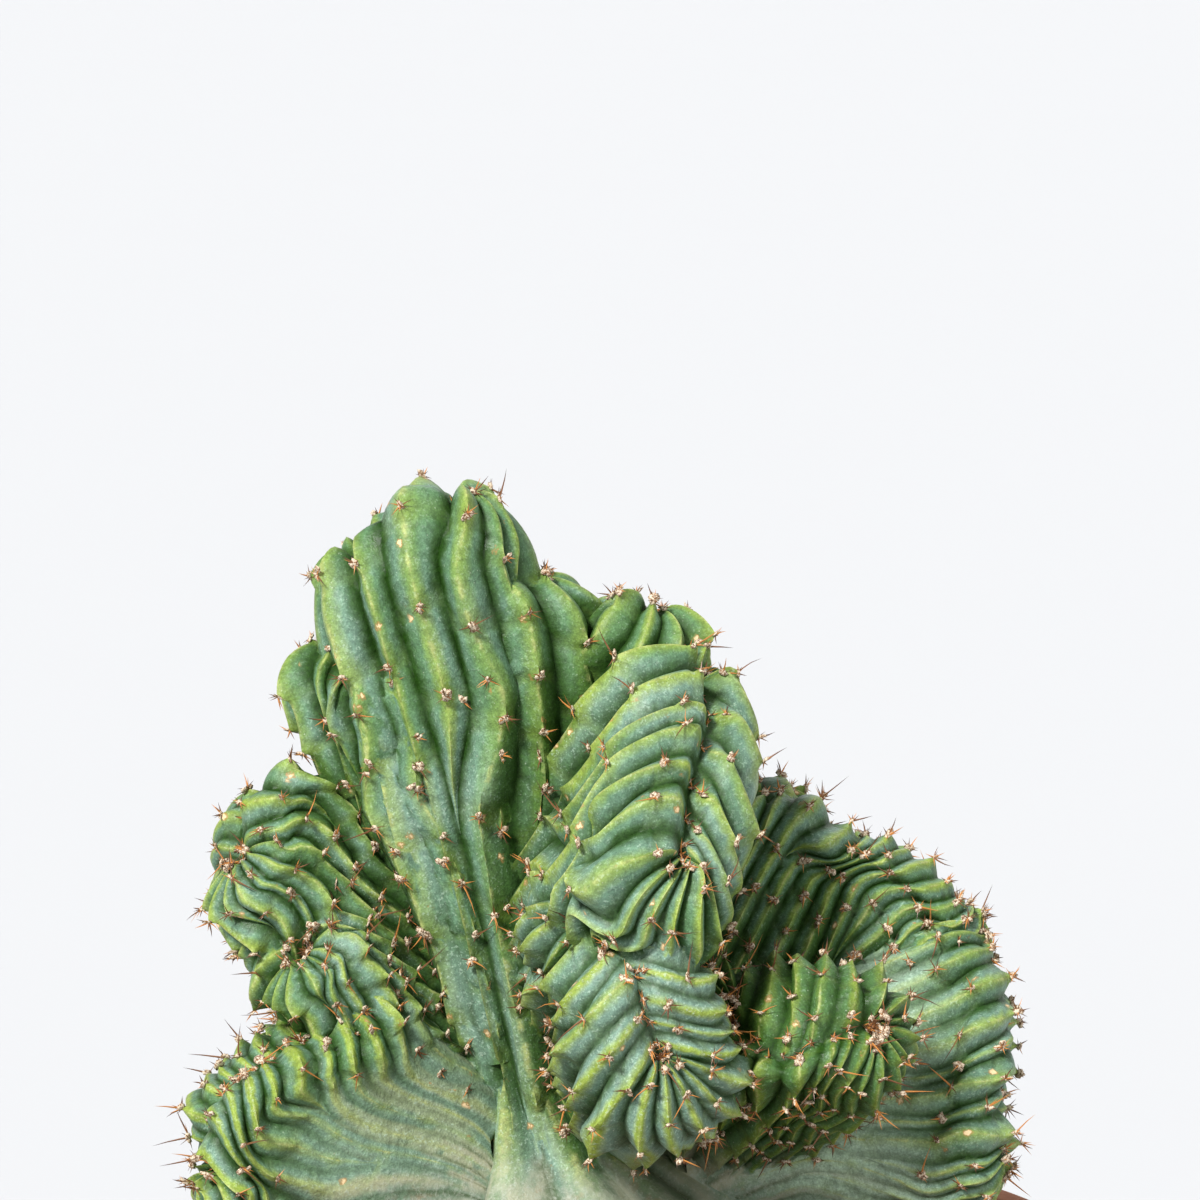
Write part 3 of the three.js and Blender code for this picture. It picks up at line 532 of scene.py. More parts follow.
def stem_mesh():
    """The short ribbed stem that all folds grow from."""
    stations = np.array(STEM_STATIONS, float)[::-1]
    z = np.linspace(stations[0, 0], stations[-1, 0], STEM_STEPS)
    x, wide, deep = (np.interp(z, stations[:, 0], stations[:, k]) for k in (1, 2, 3))
    angle = turns(STEM_SIDES)
    bent = angle + 0.12 * np.sin(angle * 3 + 1) + 0.07 * np.sin(angle * 5)
    ridge = np.abs(np.cos(bent * STEM_RIBS / 2)) ** 0.8
    reach = STEM_REACH + STEM_RIB_DEPTH * ridge
    verts = np.stack([
        x[:, None] + wide[:, None] * reach * np.cos(angle),
        deep[:, None] * reach * np.sin(angle),
        np.broadcast_to(z[:, None], (STEM_STEPS, STEM_SIDES)),
    ], -1).reshape(-1, 3)
    a, b, c, d = cell_corners(np.arange(len(verts)).reshape(STEM_STEPS, STEM_SIDES))
    verts = np.vstack([verts, [x[0], 0, z[0]], [x[-1], 0, z[-1]]])
    tris = np.vstack([
        triangles(a, b, c), triangles(a, c, d), triangles(b[0], a[0], len(verts) - 2),
        triangles(d[-1], c[-1], len(verts) - 1),
    ])
    none = np.zeros(len(verts))
    streak = lumps(verts / (1, 1, 6), 7, 9)
    look = dict(ridge=np.append(np.tile(ridge, STEM_STEPS), [0, 0]), age=none + STEM_AGE, chin=none,
                bloom=none + STEM_BLOOM, streak=streak, skirt=none, ripe=none)
    return verts, tris, look


# Meshes, materials and pieces

def make_mesh(name, verts, tris, look=None):
    """A mesh in metres from points in millimetres and what each of them holds for the materials."""
    mesh = bpy.data.meshes.new(name)
    mesh.from_pydata(verts * MM, (), tris, shade_flat=False)
    set_look(mesh, look or {})
    return mesh


def set_look(mesh, look):
    """Stores values at a mesh's points for the materials to read."""
    for name, values in look.items():
        attribute = mesh.attributes.new(name, "FLOAT", "POINT")
        attribute.data.foreach_set("value", np.asarray(values, np.float32))


def place_piece(mesh, material, slot, *replaced, sharp=None):
    """Puts a finished mesh in the scene as a piece of the same name that stands for CAD nodes."""
    mesh.shade_smooth()
    if sharp is not None:
        mesh.set_sharp_from_angle(angle=math.radians(sharp))
    mesh.materials.clear()
    mesh.materials.append(material)
    piece = bpy.data.objects.new(mesh.name, mesh)
    bpy.context.scene.collection.objects.link(piece)
    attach(piece, "root")
    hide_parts(*replaced)


def surface_tree(mesh):
    """Finds the nearest point of a mesh, or where a ray meets it."""
    return BVHTree.FromPolygons([v.co for v in mesh.vertices], [p.vertices for p in mesh.polygons])


class Shader:
    """The nodes of a material or a world under construction. Each method adds some and returns what they
    give."""

    def __init__(self, owner, surface="Principled BSDF", place="Object"):
        owner.use_nodes = True
        self.owner = owner
        self.tree = owner.node_tree
        self.surface = self.tree.nodes[surface]
        self.place = self.add("ShaderNodeTexCoord", {})[place]

    def add(self, kind, inputs, **properties):
        """A node's outputs. Each input is a number, a colour or another node's output."""
        node = self.tree.nodes.new(kind)
        for name, value in properties.items():
            setattr(node, name, value)
        self.put(node, inputs)
        return node.outputs

    def put(self, node, inputs):
        for name, value in inputs.items():
            if isinstance(value, bpy.types.NodeSocket):
                self.tree.links.new(value, node.inputs[name])
            else:
                node.inputs[name].default_value = (*value, 1) if hasattr(value, "__len__") else value

    def read(self, *names):
        """What the mesh's points hold under each name."""
        return [self.add("ShaderNodeAttribute", {}, attribute_name=name)["Fac"] for name in names]

    def height(self):
        return self.add("ShaderNodeSeparateXYZ", {0: self.place})["Z"]

    def texture(self, kind, size, **inputs):
        """A texture whose lumps or cells are about size millimetres wide."""
        return self.add(kind, dict(Vector=self.place, Scale=1 / (size * MM), **inputs))

    def noise(self, size, detail=3, rough=0.55, warp=0.0):
        inputs = dict(Detail=detail, Roughness=rough, Distortion=warp)
        return self.texture("ShaderNodeTexNoise", size, **inputs)["Fac"]

    def cells(self, size):
        """The distance to each random cell's point, and its colour."""
        outputs = self.texture("ShaderNodeTexVoronoi", size)
        return outputs["Distance"], outputs["Color"]

    def math(self, operation, a, b):
        return self.add("ShaderNodeMath", {0: a, 1: b}, operation=operation)[0]

    def plus(self, *values):
        return reduce(lambda a, b: self.math("ADD", a, b), values)

    def times(self, *values):
        return reduce(lambda a, b: self.math("MULTIPLY", a, b), values)

    def band(self, value, low, high, to_low=0.0, to_high=1.0):
        """A smooth step of value from low to high."""
        inputs = dict(enumerate((value, low, high, to_low, to_high)))
        return self.add("ShaderNodeMapRange", inputs, interpolation_type="SMOOTHSTEP")[0]

    def mix(self, factor, a, b, blend="MIX"):
        inputs = {"Factor": factor, 6: a, 7: b}
        return self.add("ShaderNodeMix", inputs, data_type="RGBA", blend_type=blend)[2]

    def bump(self, height, depth, **under):
        """Surface relief of about depth millimetres."""
        return self.add("ShaderNodeBump", dict(Strength=1.0, Distance=depth * MM, Height=height, **under))[0]

    def finish(self, colour, roughness, **plain):
        self.put(self.surface, {"Base Color": colour, "Roughness": roughness} | plain)
        return self.owner


def skin_material(look):
    """Waxy blue-green skin with yellower ridges, pale specks and a corky base, with painted shade in its
    grooves and between its folds, a painted highlight along each ridge and painted light on a waxy skirt.
    """
    s = Shader(bpy.data.materials.new("cactus_skin"))
    ridge, bloom, age, streak, skirt, shelter = s.read("ridge", "bloom", "age", "streak", "skirt", "shelter")
    mottle = s.noise(4, 4, 0.6, 0.4)
    fine = s.noise(0.9, 3, 0.65)
    wobble = s.times(s.plus(mottle, -0.5), 0.35)
    across = s.plus(ridge, wobble)
    waxy = s.plus(bloom, s.times(s.plus(s.noise(24, 3), -0.5), 1.8), wobble, s.times(streak, 0.22),
                  s.band(age, 0.45, 0.9, 0.0, 0.55))
    # Painted shade: the skin darkens towards deep green where the rest of the plant hides it from the sky.
    # Folds with little wax are darker green as well
    deep = s.times(s.band(shelter, 0.12, 0.62, 0.0, 0.9), s.band(skirt, 0.0, 1.0, 1.0, 0.15))
    deep = s.math("MAXIMUM", deep, s.band(bloom, -0.8, 0.1, 0.8, 0.0))
    open_skin = s.times(s.band(across, 0.08, 0.45), s.band(shelter, 0.3, 0.7, 1.0, 0.2))

    # Blue-green between the grooves and the ridges, paler where the wax is thick
    colour = s.mix(s.band(waxy, 0.0, 1.0), look.skin_deep, look.skin_pale)
    flank = s.times(s.band(across, 0.12, 0.4), s.band(across, 0.5, 0.8, 1.0, 0.0))
    colour = s.mix(s.times(flank, s.band(waxy, -0.3, 0.5, 0.1, 0.6)), colour, look.skin_blue)
    ripe = s.plus(s.times(streak, 0.35), s.band(waxy, -0.3, 0.9, 0.95, 0.6), *s.read("ripe"))
    colour = s.mix(s.times(s.band(across, 0.52, 0.98), ripe), colour, look.skin_ridge)

    # Streaks where ribs die away, with painted light on waxy skirts, then painted shade where the plant is
    # sheltered and in the grooves
    sweep = s.mix(s.band(streak, -0.2, 0.6), SKIRT_GREEN, SKIRT_WARM)
    # Painted light: on a waxy fold the skirt is lightened where it lies in the heads' shadow
    sweep = s.mix(s.band(bloom, 0.35, 0.5, 0.0, 0.85), sweep, SKIRT_PAINTED_LIGHT)
    colour = s.mix(s.times(skirt, 0.8), colour, sweep)
    colour = s.mix(deep, colour, look.skin_painted_shade)
    # Painted shade: deep green down in the grooves between ribs, weaker on waxy folds and on skirts
    painted_groove_shade = s.times(s.band(across, 0.0, 0.57, 1.0, 0.0), s.band(bloom, 0.2, 0.8, 0.97, 0.82),
                     s.math("SUBTRACT", 1.0, s.times(skirt, 0.7)))
    colour = s.mix(painted_groove_shade, colour, look.skin_groove_shade)

    # A painted highlight along each ridge, then dust, grain and specks
    line = s.times(s.band(across, 0.88, 1.05), s.band(mottle, 0.38, 0.6, 0.1, 0.7))
    colour = s.mix(line, colour, RIDGE_HIGHLIGHT)
    colour = s.mix(s.times(*s.read("chin"), 0.35), colour, look.skin_ridge)
    dust = s.times(s.band(fine, 0.54, 0.68), s.band(waxy, 0.0, 0.9, 0.15, 0.5))
    colour = s.mix(s.times(dust, open_skin), colour, WAX_DUST)
    grain = s.times(s.band(s.noise(1.7, 4, 0.7), 0.3, 0.7, 0.76, 1.18),
                    s.band(s.noise(0.45, 2, 0.6), 0.32, 0.68, 0.86, 1.14))
    grey = s.add("ShaderNodeCombineColor", {0: grain, 1: grain, 2: grain})[0]
    colour = s.mix(1.0, colour, grey, "MULTIPLY")
    specks = s.times(s.band(s.cells(1.5)[0], 0.08, 0.15, 0.4, 0.0), s.band(mottle, 0.4, 0.6))
    colour = s.mix(s.times(specks, open_skin), colour, PALE_SPECK)

    # Cork near the stem
    worn = s.band(s.plus(*s.read("cork"), wobble, s.times(streak, 0.2)), 0.25, 0.85)
    bark = s.mix(s.band(streak, -0.8, 0.7), look.bark_pale, look.bark_warm)
    bark = s.mix(s.band(s.plus(mottle, s.times(streak, 0.3)), 0.2, 0.7, 0.9, 0.0), bark, look.bark_dark)
    patches = s.band(s.plus(s.noise(9, 4, 0.7), s.times(streak, -0.12)), 0.54, 0.68)
    bark = s.mix(s.times(patches, 0.7), bark, BARK_PATCH)
    # Painted shade on the cork: darker in its grooves and where the plant shelters it
    bark = s.mix(s.band(across, 0.0, 0.4, 0.85, 0.0), bark, BARK_GROOVE_SHADE)
    bark = s.mix(s.band(fine, 0.48, 0.66, 0.0, 0.4), bark, BARK_DUST)
    bark = s.mix(s.times(deep, 0.8), bark, BARK_SHADE)
    colour = s.mix(s.times(worn, 0.9), colour, bark)

    # A few small scars on the ridges
    distance, cell = s.cells(7)
    scar = s.times(s.math("GREATER_THAN", cell, 0.46), s.math("LESS_THAN", worn, 0.2),
                   s.band(ridge, 0.35, 0.55))
    distance = s.plus(distance, s.plus(wobble, s.band(fine, 0.3, 0.7, -0.05, 0.05)))
    colour = s.mix(s.times(s.band(distance, 0.10, 0.17, 0.8, 0.0), scar), colour, SCAR_RIM)
    colour = s.mix(s.times(s.band(distance, 0.05, 0.11, 1.0, 0.0), scar), colour,
                   s.mix(fine, SCAR_DARK, SCAR_PALE))
    rough = s.plus(s.band(mottle, 0.3, 0.7, 0.38, 0.54), s.band(shelter, 0.1, 0.5, 0.0, 0.3))
    normal = s.bump(fine, 0.2, Normal=s.bump(mottle, 0.4))
    return s.finish(colour, rough, Normal=normal, **{"Specular IOR Level": 0.26})


def wool_material(look):
    """Felt, darker in its creases."""
    s = Shader(bpy.data.materials.new("areole_wool"))
    fine = s.noise(0.55, 3, 0.7)
    colour = s.mix(s.band(fine, 0.40, 0.58), look.wool_dark, look.wool_pale)
    return s.finish(colour, 0.95, Normal=s.bump(fine, 0.25))


def spine_material(look):
    """Brown spines that darken to the tip, and a few orange ones."""
    s = Shader(bpy.data.materials.new("spine"))
    along, shade = s.read("along", "shade")
    colour = s.mix(s.band(along, 0.25, 0.95), look.spine_base, look.spine_tip)
    colour = s.mix(s.math("GREATER_THAN", shade, 0.65), colour, look.spine_bright)
    return s.finish(colour, 0.45, Normal=s.bump(s.noise(0.4, 2), 0.05))


def clay_material(look):
    """Unglazed clay with faint turning rings, dark specks and a bloom of lime low down."""
    s = Shader(bpy.data.materials.new("unglazed_clay"))
    mottle = s.noise(9, 5, 0.65)
    fine = s.noise(1.0, 3, 0.7)
    colour = s.mix(s.band(mottle, 0.3, 0.7), look.clay_deep, look.clay_pale)
    colour = s.mix(s.band(fine, 0.62, 0.72, 0.0, 0.5), colour, CLAY_SPECK)
    lime = s.times(s.band(s.height(), 0.0, 0.07, 1.0, 0.15), s.band(s.noise(60, 3, 0.6), 0.42, 0.62), 0.4)
    colour = s.mix(lime, colour, CLAY_LIME)
    turned = s.add("ShaderNodeTexWave", dict(Vector=s.place, Scale=22, Distortion=5.0, Detail=3),
                   wave_type="BANDS", bands_direction="Z")["Fac"]
    normal = s.bump(fine, 0.12, Normal=s.bump(turned, 0.1, Normal=s.bump(mottle, 0.2)))
    rough = s.band(fine, 0.3, 0.7, 0.8, 0.95)
    return s.finish(colour, rough, Normal=normal, **{"Specular IOR Level": 0.3})


def crumb_material(name, dark, pale, size, rough=0.95):
    """Peat, bark or grit: two tones that differ from piece to piece."""
    s = Shader(bpy.data.materials.new(name))
    fine = s.noise(size, 4, 0.7)
    tone = s.plus(s.times(*s.read("shade"), 0.6), s.times(fine, 0.5))
    return s.finish(s.mix(tone, dark, pale), rough, Normal=s.bump(fine, 0.35))


def stage_material(colour):
    """The floor's plain pale finish."""
    s = Shader(bpy.data.materials.new("pale_stage"))
    slightly_darker = [c * 0.995 for c in colour]
    colour = s.mix(s.noise(400, 2), colour, slightly_darker)
    return s.finish(colour, 0.9, **{"Specular IOR Level": 0.1})


def studio_sky():
    """A pale band at the horizon, like the floor, under a dimmer soft ceiling."""
    s = Shader(bpy.data.worlds.new("studio"), "Background", "Generated")
    s.put(s.surface, dict(Color=s.mix(s.band(s.height(), *SKY_STEP), SKY_LOW, SKY_HIGH)))
    return s.owner


# Small parts

def join(parts):
    """One mesh from many small ones, each a set of points, triangles and looks."""
    verts, tris, looks = zip(*parts)
    starts = np.cumsum([0] + [len(one) for one in verts])
    look = {name: np.concatenate([one[name] for one in looks]) for name in looks[0]}
    return np.vstack(verts), np.vstack([one + start for one, start in zip(tris, starts)]), look


def ball():
    """The points and triangles of a rough unit ball."""
    mesh = bpy.data.meshes.new("ball")
    shape = bmesh.new()
    bmesh.ops.create_icosphere(shape, subdivisions=1, radius=1)
    shape.to_mesh(mesh)
    shape.free()
    verts = np.array([v.co for v in mesh.vertices])
    tris = np.array([p.vertices[:] for p in mesh.polygons])
    bpy.data.meshes.remove(mesh)
    return verts, tris


def cross_axes(way):
    """Two directions at right angles to way."""
    side = unit(np.cross(way, (0.3, 0.2, 1.0) if abs(way[2]) < 0.9 else (1.0, 0.1, 0.2)))
    return side, np.cross(way, side)


def thorn(root, way, length, radius, rng, stations=(0, 0.4), sides=4):
    """One curved spine: rings at the stations, that narrow to a point."""
    stations = np.array(stations)
    side, other = cross_axes(way)
    bend = (side * rng.normal(0, 0.12) + other * rng.normal(0, 0.12)) * length
    turn = turns(sides)
    ring = np.cos(turn)[:, None] * side + np.sin(turn)[:, None] * other
    verts = [root + way * length * t + bend * t * t + ring * radius * (1 - t) ** 0.7 for t in stations]
    verts = np.vstack(verts + [(root + way * length + bend)[None]])
    tris = []
    for row in range(len(stations) - 1):
        for k in range(sides):
            a, b = row * sides + k, row * sides + (k + 1) % sides
            tris += [(a, b, b + sides), (a, b + sides, a + sides)]
    last = (len(stations) - 1) * sides
    tris += [(last + k, last + (k + 1) % sides, last + sides) for k in range(sides)]
    tris += [(0, k + 1, k) for k in range(1, sides - 1)]
    along = np.append(np.repeat(stations, sides), 1.0)
    return verts, np.array(tris), dict(along=along, shade=np.full(len(verts), rng.random()))


def find_areoles(skin):
    """Where the areoles show: points down every rib that lie on the skin, with the way out and down, and
    how well grown they are."""
    tree = surface_tree(skin.data)
    found = []
    for fold in crest_folds():
        furthest = 0.8 if fold.flat < 0.5 else fold.flat_from + 0.15
        for rib in range(fold.ribs):
            for k in range(-1, 9):
                youngest = k < 0
                want = 0.9 if youngest else fold.first[rib] + (k - 0.1) * fold.spacing[rib]
                u = float(np.interp(want, fold.run[:, rib], fold.levels))
                if u >= min(fold.stop[rib] - 0.1, furthest):
                    break
                levels = np.array([u, min(u + 0.02, 1)])
                ridge = np.zeros((2, 1))
                points, look = fold.skin(levels, np.full((2, 1), rib), ridge, fold.girth_at(levels))
                point, normal = points[0, 0], look["normal"][0, 0]
                on_skin, _, _, away = tree.find_nearest(Vector((point + CREST_LIFT) * MM))
                if away / MM < ON_SKIN and point[2] > LOWEST_AREOLE:
                    down = unit(points[1, 0] - point)
                    found.append((np.array(on_skin) / MM, normal, down, YOUNG if youngest else 1.0))
    return found


# What a user would change

def a_colour(name, description, default):
    return bpy.props.FloatVectorProperty(
        name=name, description=description, subtype="COLOR", size=3, min=0, max=1, default=default)


def a_length(name, description, default):
    return bpy.props.FloatProperty(name=name, description=description, unit="LENGTH", default=default)


def a_count(name, description, default, least):
    return bpy.props.IntProperty(name=name, description=description, default=default, min=least)


class PlantLook(bpy.types.PropertyGroup):
    """Sizes and colours of the plant."""
    skin_deep: a_colour("Skin, deep", "Blue-green of the skin in its darker patches", (0.085, 0.182, 0.058))
    skin_pale: a_colour("Skin, pale", "Blue-green of the skin where its wax is thick", (0.225, 0.325, 0.235))
    skin_blue: a_colour("Skin, blue", "Bluer skin on the flanks of the ribs", (0.115, 0.212, 0.168))
    skin_ridge: a_colour("Ridges", "Yellow-green along the ridges of the ribs", (0.235, 0.318, 0.050))
    # Painted shade deep in the grooves between ribs
    skin_groove_shade: a_colour("Grooves", "Deep green in the grooves between ribs", (0.010, 0.040, 0.001))
    # Painted shade on skin hidden from the sky between the folds, and the darker green of folds with little
    # wax
    skin_painted_shade: a_colour("Sheltered skin", "Green of the skin deep between the folds", (0.028, 0.080, 0.004))
    bark_dark: a_colour("Bark, dark", "Corky base of the stem, dark patches", (0.12, 0.18, 0.10))
    bark_pale: a_colour("Bark, pale", "Corky base of the stem, pale and bluish", (0.27, 0.325, 0.275))
    bark_warm: a_colour("Bark, warm", "Corky base of the stem, beige streaks", (0.36, 0.35, 0.24))
    wool_dark: a_colour("Wool, dark", "Felt of the areoles in its creases", (0.19, 0.10, 0.045))
    wool_pale: a_colour("Wool, pale", "Felt of the areoles", (0.70, 0.58, 0.43))
    spine_base: a_colour("Spine base", "Spines near the skin", (0.20, 0.085, 0.032))
    spine_tip: a_colour("Spine tip", "Spines towards the tip", (0.045, 0.018, 0.010))
    spine_bright: a_colour("Bright spines", "The few spines that are orange", (0.50, 0.20, 0.05))
    spine_length: a_length("Spine length", "Length of a middling spine", 0.0032)
    spine_radius: a_length("Spine radius", "Radius of a spine at its root", 0.00024)
    wool_radius: a_length("Wool radius", "Radius of an areole's felt pad", 0.00115)


class PotLook(bpy.types.PropertyGroup):
    """Colours of the pot."""
    clay_deep: a_colour("Clay, deep", "Unglazed clay in its darker patches", (0.36, 0.14, 0.070))
    clay_pale: a_colour("Clay, pale", "Unglazed clay in its paler patches", (0.50, 0.225, 0.125))
    pot_sides: a_count("Pot sides", "Steps round the pot", 180, 24)


class MixLook(bpy.types.PropertyGroup):
    """Sizes and colours of the potting mix."""
    peat_dark: a_colour("Peat, dark", "Damp peat", (0.045, 0.025, 0.015))
    peat_pale: a_colour("Peat, pale", "Dry peat", (0.20, 0.12, 0.07))
    grit_pale: a_colour("Grit", "White grit", (0.78, 0.76, 0.71))
    crumb_count: a_count("Crumbs", "Crumbs of peat, before those outside or in the plant go", 2600, 1)
    grit_count: a_count("Grit", "Grains of grit, before those outside or in the plant go", 420, 1)


class StageLook(bpy.types.PropertyGroup):
    """Camera, lights and floor."""
    floor_colour: a_colour("Floor", "Plain pale floor", (0.558, 0.561, 0.568))
    distance: a_length("Camera distance", "From the lens to the aim", 1.3)
    elevation: bpy.props.FloatProperty(
        name="Camera elevation", description="How far the camera looks down", unit="ROTATION",
        default=math.radians(8))
    frame_width: a_length("Frame width", "Width of the view at the aim", 0.276)


LOOKS = {"plant_look": PlantLook, "pot_look": PotLook, "mix_look": MixLook, "stage_look": StageLook}


class CACTUS_OT_skin(bpy.types.Operator):
    """Builds the plant's ribbed skin: fifteen folds and a stem, joined in one body"""
    bl_idname = "cactus.skin"
    bl_label = "Skin"

    def execute(self, context):
        grid = FINE_GRID
        meshes = [stem_mesh()] + [fold_mesh(fold, *grid) for fold in crest_folds()]
        shown = context.scene.collection
        folder = bpy.data.collections.new("folds")
        shown.children.link(folder)
        for number, (verts, tris, _) in enumerate(meshes):
            verts[:, 2] = np.maximum(verts[:, 2], LOWEST_SKIN + 0.01 * number)
            mesh = make_mesh(f"fold_{number}", verts + CREST_LIFT, tris)
            (folder if number else shown).objects.link(bpy.data.objects.new(mesh.name, mesh))
        stem = bpy.data.objects["fold_0"]
        union = stem.modifiers.new("union", "BOOLEAN")
        union.operation = "UNION"
        union.operand_type = "COLLECTION"
        union.collection = folder
        union.solver = "MANIFOLD"
        joined = evaluated_mesh(stem, "joined")
        if len(joined.polygons) <= len(stem.data.polygons):
            raise RuntimeError("the folds didn't join")
        for part in [*folder.objects, stem]:
            bpy.data.objects.remove(part)
        bpy.data.collections.remove(folder)
        skin = bpy.data.objects.new("joined", joined)
        shown.objects.link(skin)
        thin = skin.modifiers.new("thin", "DECIMATE")
        thin.ratio = min(1, SKIN_LIMIT / sum(len(p.vertices) - 2 for p in joined.polygons))
        mesh = evaluated_mesh(skin, "crest_skin")
        bpy.data.objects.remove(skin)
        keep_largest_body(mesh)
        copy_look(mesh, meshes)
        material = skin_material(context.scene.plant_look)
        place_piece(mesh, material, "skin", "crested_cactus", sharp=SKIN_CREASE)
        return {"FINISHED"}


def evaluated_mesh(thing, name):
    """The mesh that an object's modifiers make."""
    graph = bpy.context.evaluated_depsgraph_get()
    mesh = bpy.data.meshes.new_from_object(thing.evaluated_get(graph))
    mesh.name = name
    return mesh


def keep_largest_body(mesh):
    """Keeps the largest connected body: sealed hollows and loose scraps go."""
    shape = bmesh.new()
    shape.from_mesh(mesh)
    bmesh.ops.triangulate(shape, faces=shape.faces)
    shape.verts.ensure_lookup_table()
    seen = np.zeros(len(shape.verts), bool)
    bodies = []
    for start in shape.verts:
        if seen[start.index]:
            continue
        seen[start.index] = True
        body, queue = [start], [start]
        while queue:
            for edge in queue.pop().link_edges:
                for vert in edge.verts:
                    if not seen[vert.index]:
                        seen[vert.index] = True
                        body.append(vert)
                        queue.append(vert)
        bodies.append(body)
    bodies.sort(key=len)
    scraps = [vert for body in bodies[:-1] for vert in body]
    bmesh.ops.delete(shape, geom=scraps, context="VERTS")
    shape.to_mesh(mesh)
    shape.free()


def copy_look(mesh, meshes):
    """Gives each point of the joined skin the look of the nearest point of the folds it came from, cork
    where it is low and near the stem, and how sheltered it is."""
    verts, _, look = join(meshes)
    tree = KDTree(len(verts))
    for number, point in enumerate((verts + CREST_LIFT) * MM):
        tree.insert(point, number)
    tree.balance()
    nearest = np.array([tree.find(v.co)[1] for v in mesh.vertices])
    set_look(mesh, {name: values[nearest] for name, values in look.items()})
    points = np.array([v.co for v in mesh.vertices]) / MM - CREST_LIFT
    reach = np.hypot(points[:, 0] - CORK_MIDDLE[0], points[:, 1] - CORK_MIDDLE[1])
    cork = (1 - ease(*CORK_HEIGHT, points[:, 2])) * (1 - ease(*CORK_REACH, reach))
    set_look(mesh, dict(cork=cork, shelter=shelter(mesh)))


def shelter(mesh):
    """How much of the open air around each point of a mesh is hidden by the rest of it, from 0 to 1."""
    tree = surface_tree(mesh)
    ways = [Vector(way) for way in unit(np.random.default_rng(3).normal(size=(SHELTER_RAYS, 3)))]
    hidden = np.zeros(len(mesh.vertices))
    for number, v in enumerate(mesh.vertices):
        start = v.co + v.normal * 0.3 * MM
        for way in ways:
            if tree.ray_cast(start, v.normal * 1.02 + way, SHELTER_REACH * MM)[0] is not None:
                hidden[number] += 1 / SHELTER_RAYS
    pairs = np.empty(2 * len(mesh.edges), np.int32)
    mesh.edges.foreach_get("vertices", pairs)
    one, other = pairs.reshape(-1, 2).T
    near = np.bincount(one, minlength=len(hidden)) + np.bincount(other, minlength=len(hidden))
    for _ in range(3):
        total = np.bincount(one, hidden[other], len(hidden)) + np.bincount(other, hidden[one], len(hidden))
        hidden = 0.4 * hidden + 0.6 * total / np.maximum(near, 1)
    return hidden


class CACTUS_OT_areoles(bpy.types.Operator):
    """Sets the felt pads and the spines down every rib and along the growing lines"""
    bl_idname = "cactus.areoles"
    bl_label = "Areoles and spines"

    def execute(self, context):
        look = context.scene.plant_look
        rng = np.random.default_rng(12)
        ball_verts, ball_tris = ball()
        pads, spines = [], []
        radius = look.spine_radius / MM
        for point, out, down, grown in find_areoles(bpy.data.objects["crest_skin"]):
            side = np.cross(out, down)
            size = look.wool_radius / MM * rng.uniform(0.8, 1.25) * grown
            for _ in range(PADS_PER_AREOLE):
                shift = down * rng.normal(0, 0.4) + side * rng.normal(0, 0.4)
                squash = ball_verts * rng.uniform(0.6, 1.0, 3) * size
                squash = squash * (1 + 0.25 * rng.normal(size=(len(squash), 1)))
                verts = squash[:, :1] * side + squash[:, 1:2] * down + squash[:, 2:] * out * 0.6
                pads.append((verts + point + shift * size + out * 0.1, ball_tris, {}))
            length = look.spine_length / MM * rng.uniform(0.75, 1.3) * (0.4 + 0.6 * grown)
            start = rng.uniform(0, 6.28)
            count = rng.integers(*RADIAL_SPINES)
            for k in range(count):
                angle = start + 2 * math.pi * k / count + rng.normal(0, 0.25)
                way = unit(math.cos(angle) * down + math.sin(angle) * side + out * rng.uniform(0.15, 0.8))
                reach = length * rng.uniform(0.5, 1.0)
                spines.append(thorn(point, way, reach, radius * 0.8, rng))
            for _ in range(rng.integers(*CENTRAL_SPINES)):
                way = unit(0.6 * out + 0.7 * rng.normal() * down + 0.9 * rng.normal() * side)
                reach = length * rng.uniform(0.8, 1.3) * (2.0 if rng.random() < 0.2 * grown else 1.0)
                spines.append(thorn(point, way, reach, radius, rng, LONG_STATIONS))
        mesh = make_mesh("areole_wool", *join(pads))
        place_piece(mesh, wool_material(look), "skin", "crested_cactus")
        mesh = make_mesh("spines", *join(spines))
        place_piece(mesh, spine_material(look), "skin", "crested_cactus", sharp=50)
        return {"FINISHED"}


def inner_radius(z):
    """The inner radius of the pot at a height."""
    return INNER_FOOT + (INNER_RIM - INNER_FOOT) * min(max((z - POT_WALL) / (POT_TOP - POT_WALL), 0), 1)


def round_corner(before, corner, after, radius, steps=4):
    """Points that round off one corner of a profile."""
    corner = np.array(corner, float)
    a = corner + unit(np.array(before, float) - corner) * radius
    b = corner + unit(np.array(after, float) - corner) * radius
    t = np.linspace(0, 1, steps + 1)[:, None]
    return [tuple(p) for p in (1 - t) ** 2 * a + 2 * t * (1 - t) * corner + t ** 2 * b]


def lathe_mesh(profile, sides):
    """The points and quads of a closed profile turned round Z."""
    verts = rings(*zip(*profile), sides).reshape(-1, 3)
    index = np.arange(len(verts)).reshape(-1, sides)
    return verts, np.stack(cell_corners(np.vstack([index, index[:1]])), -1).reshape(-1, 4)


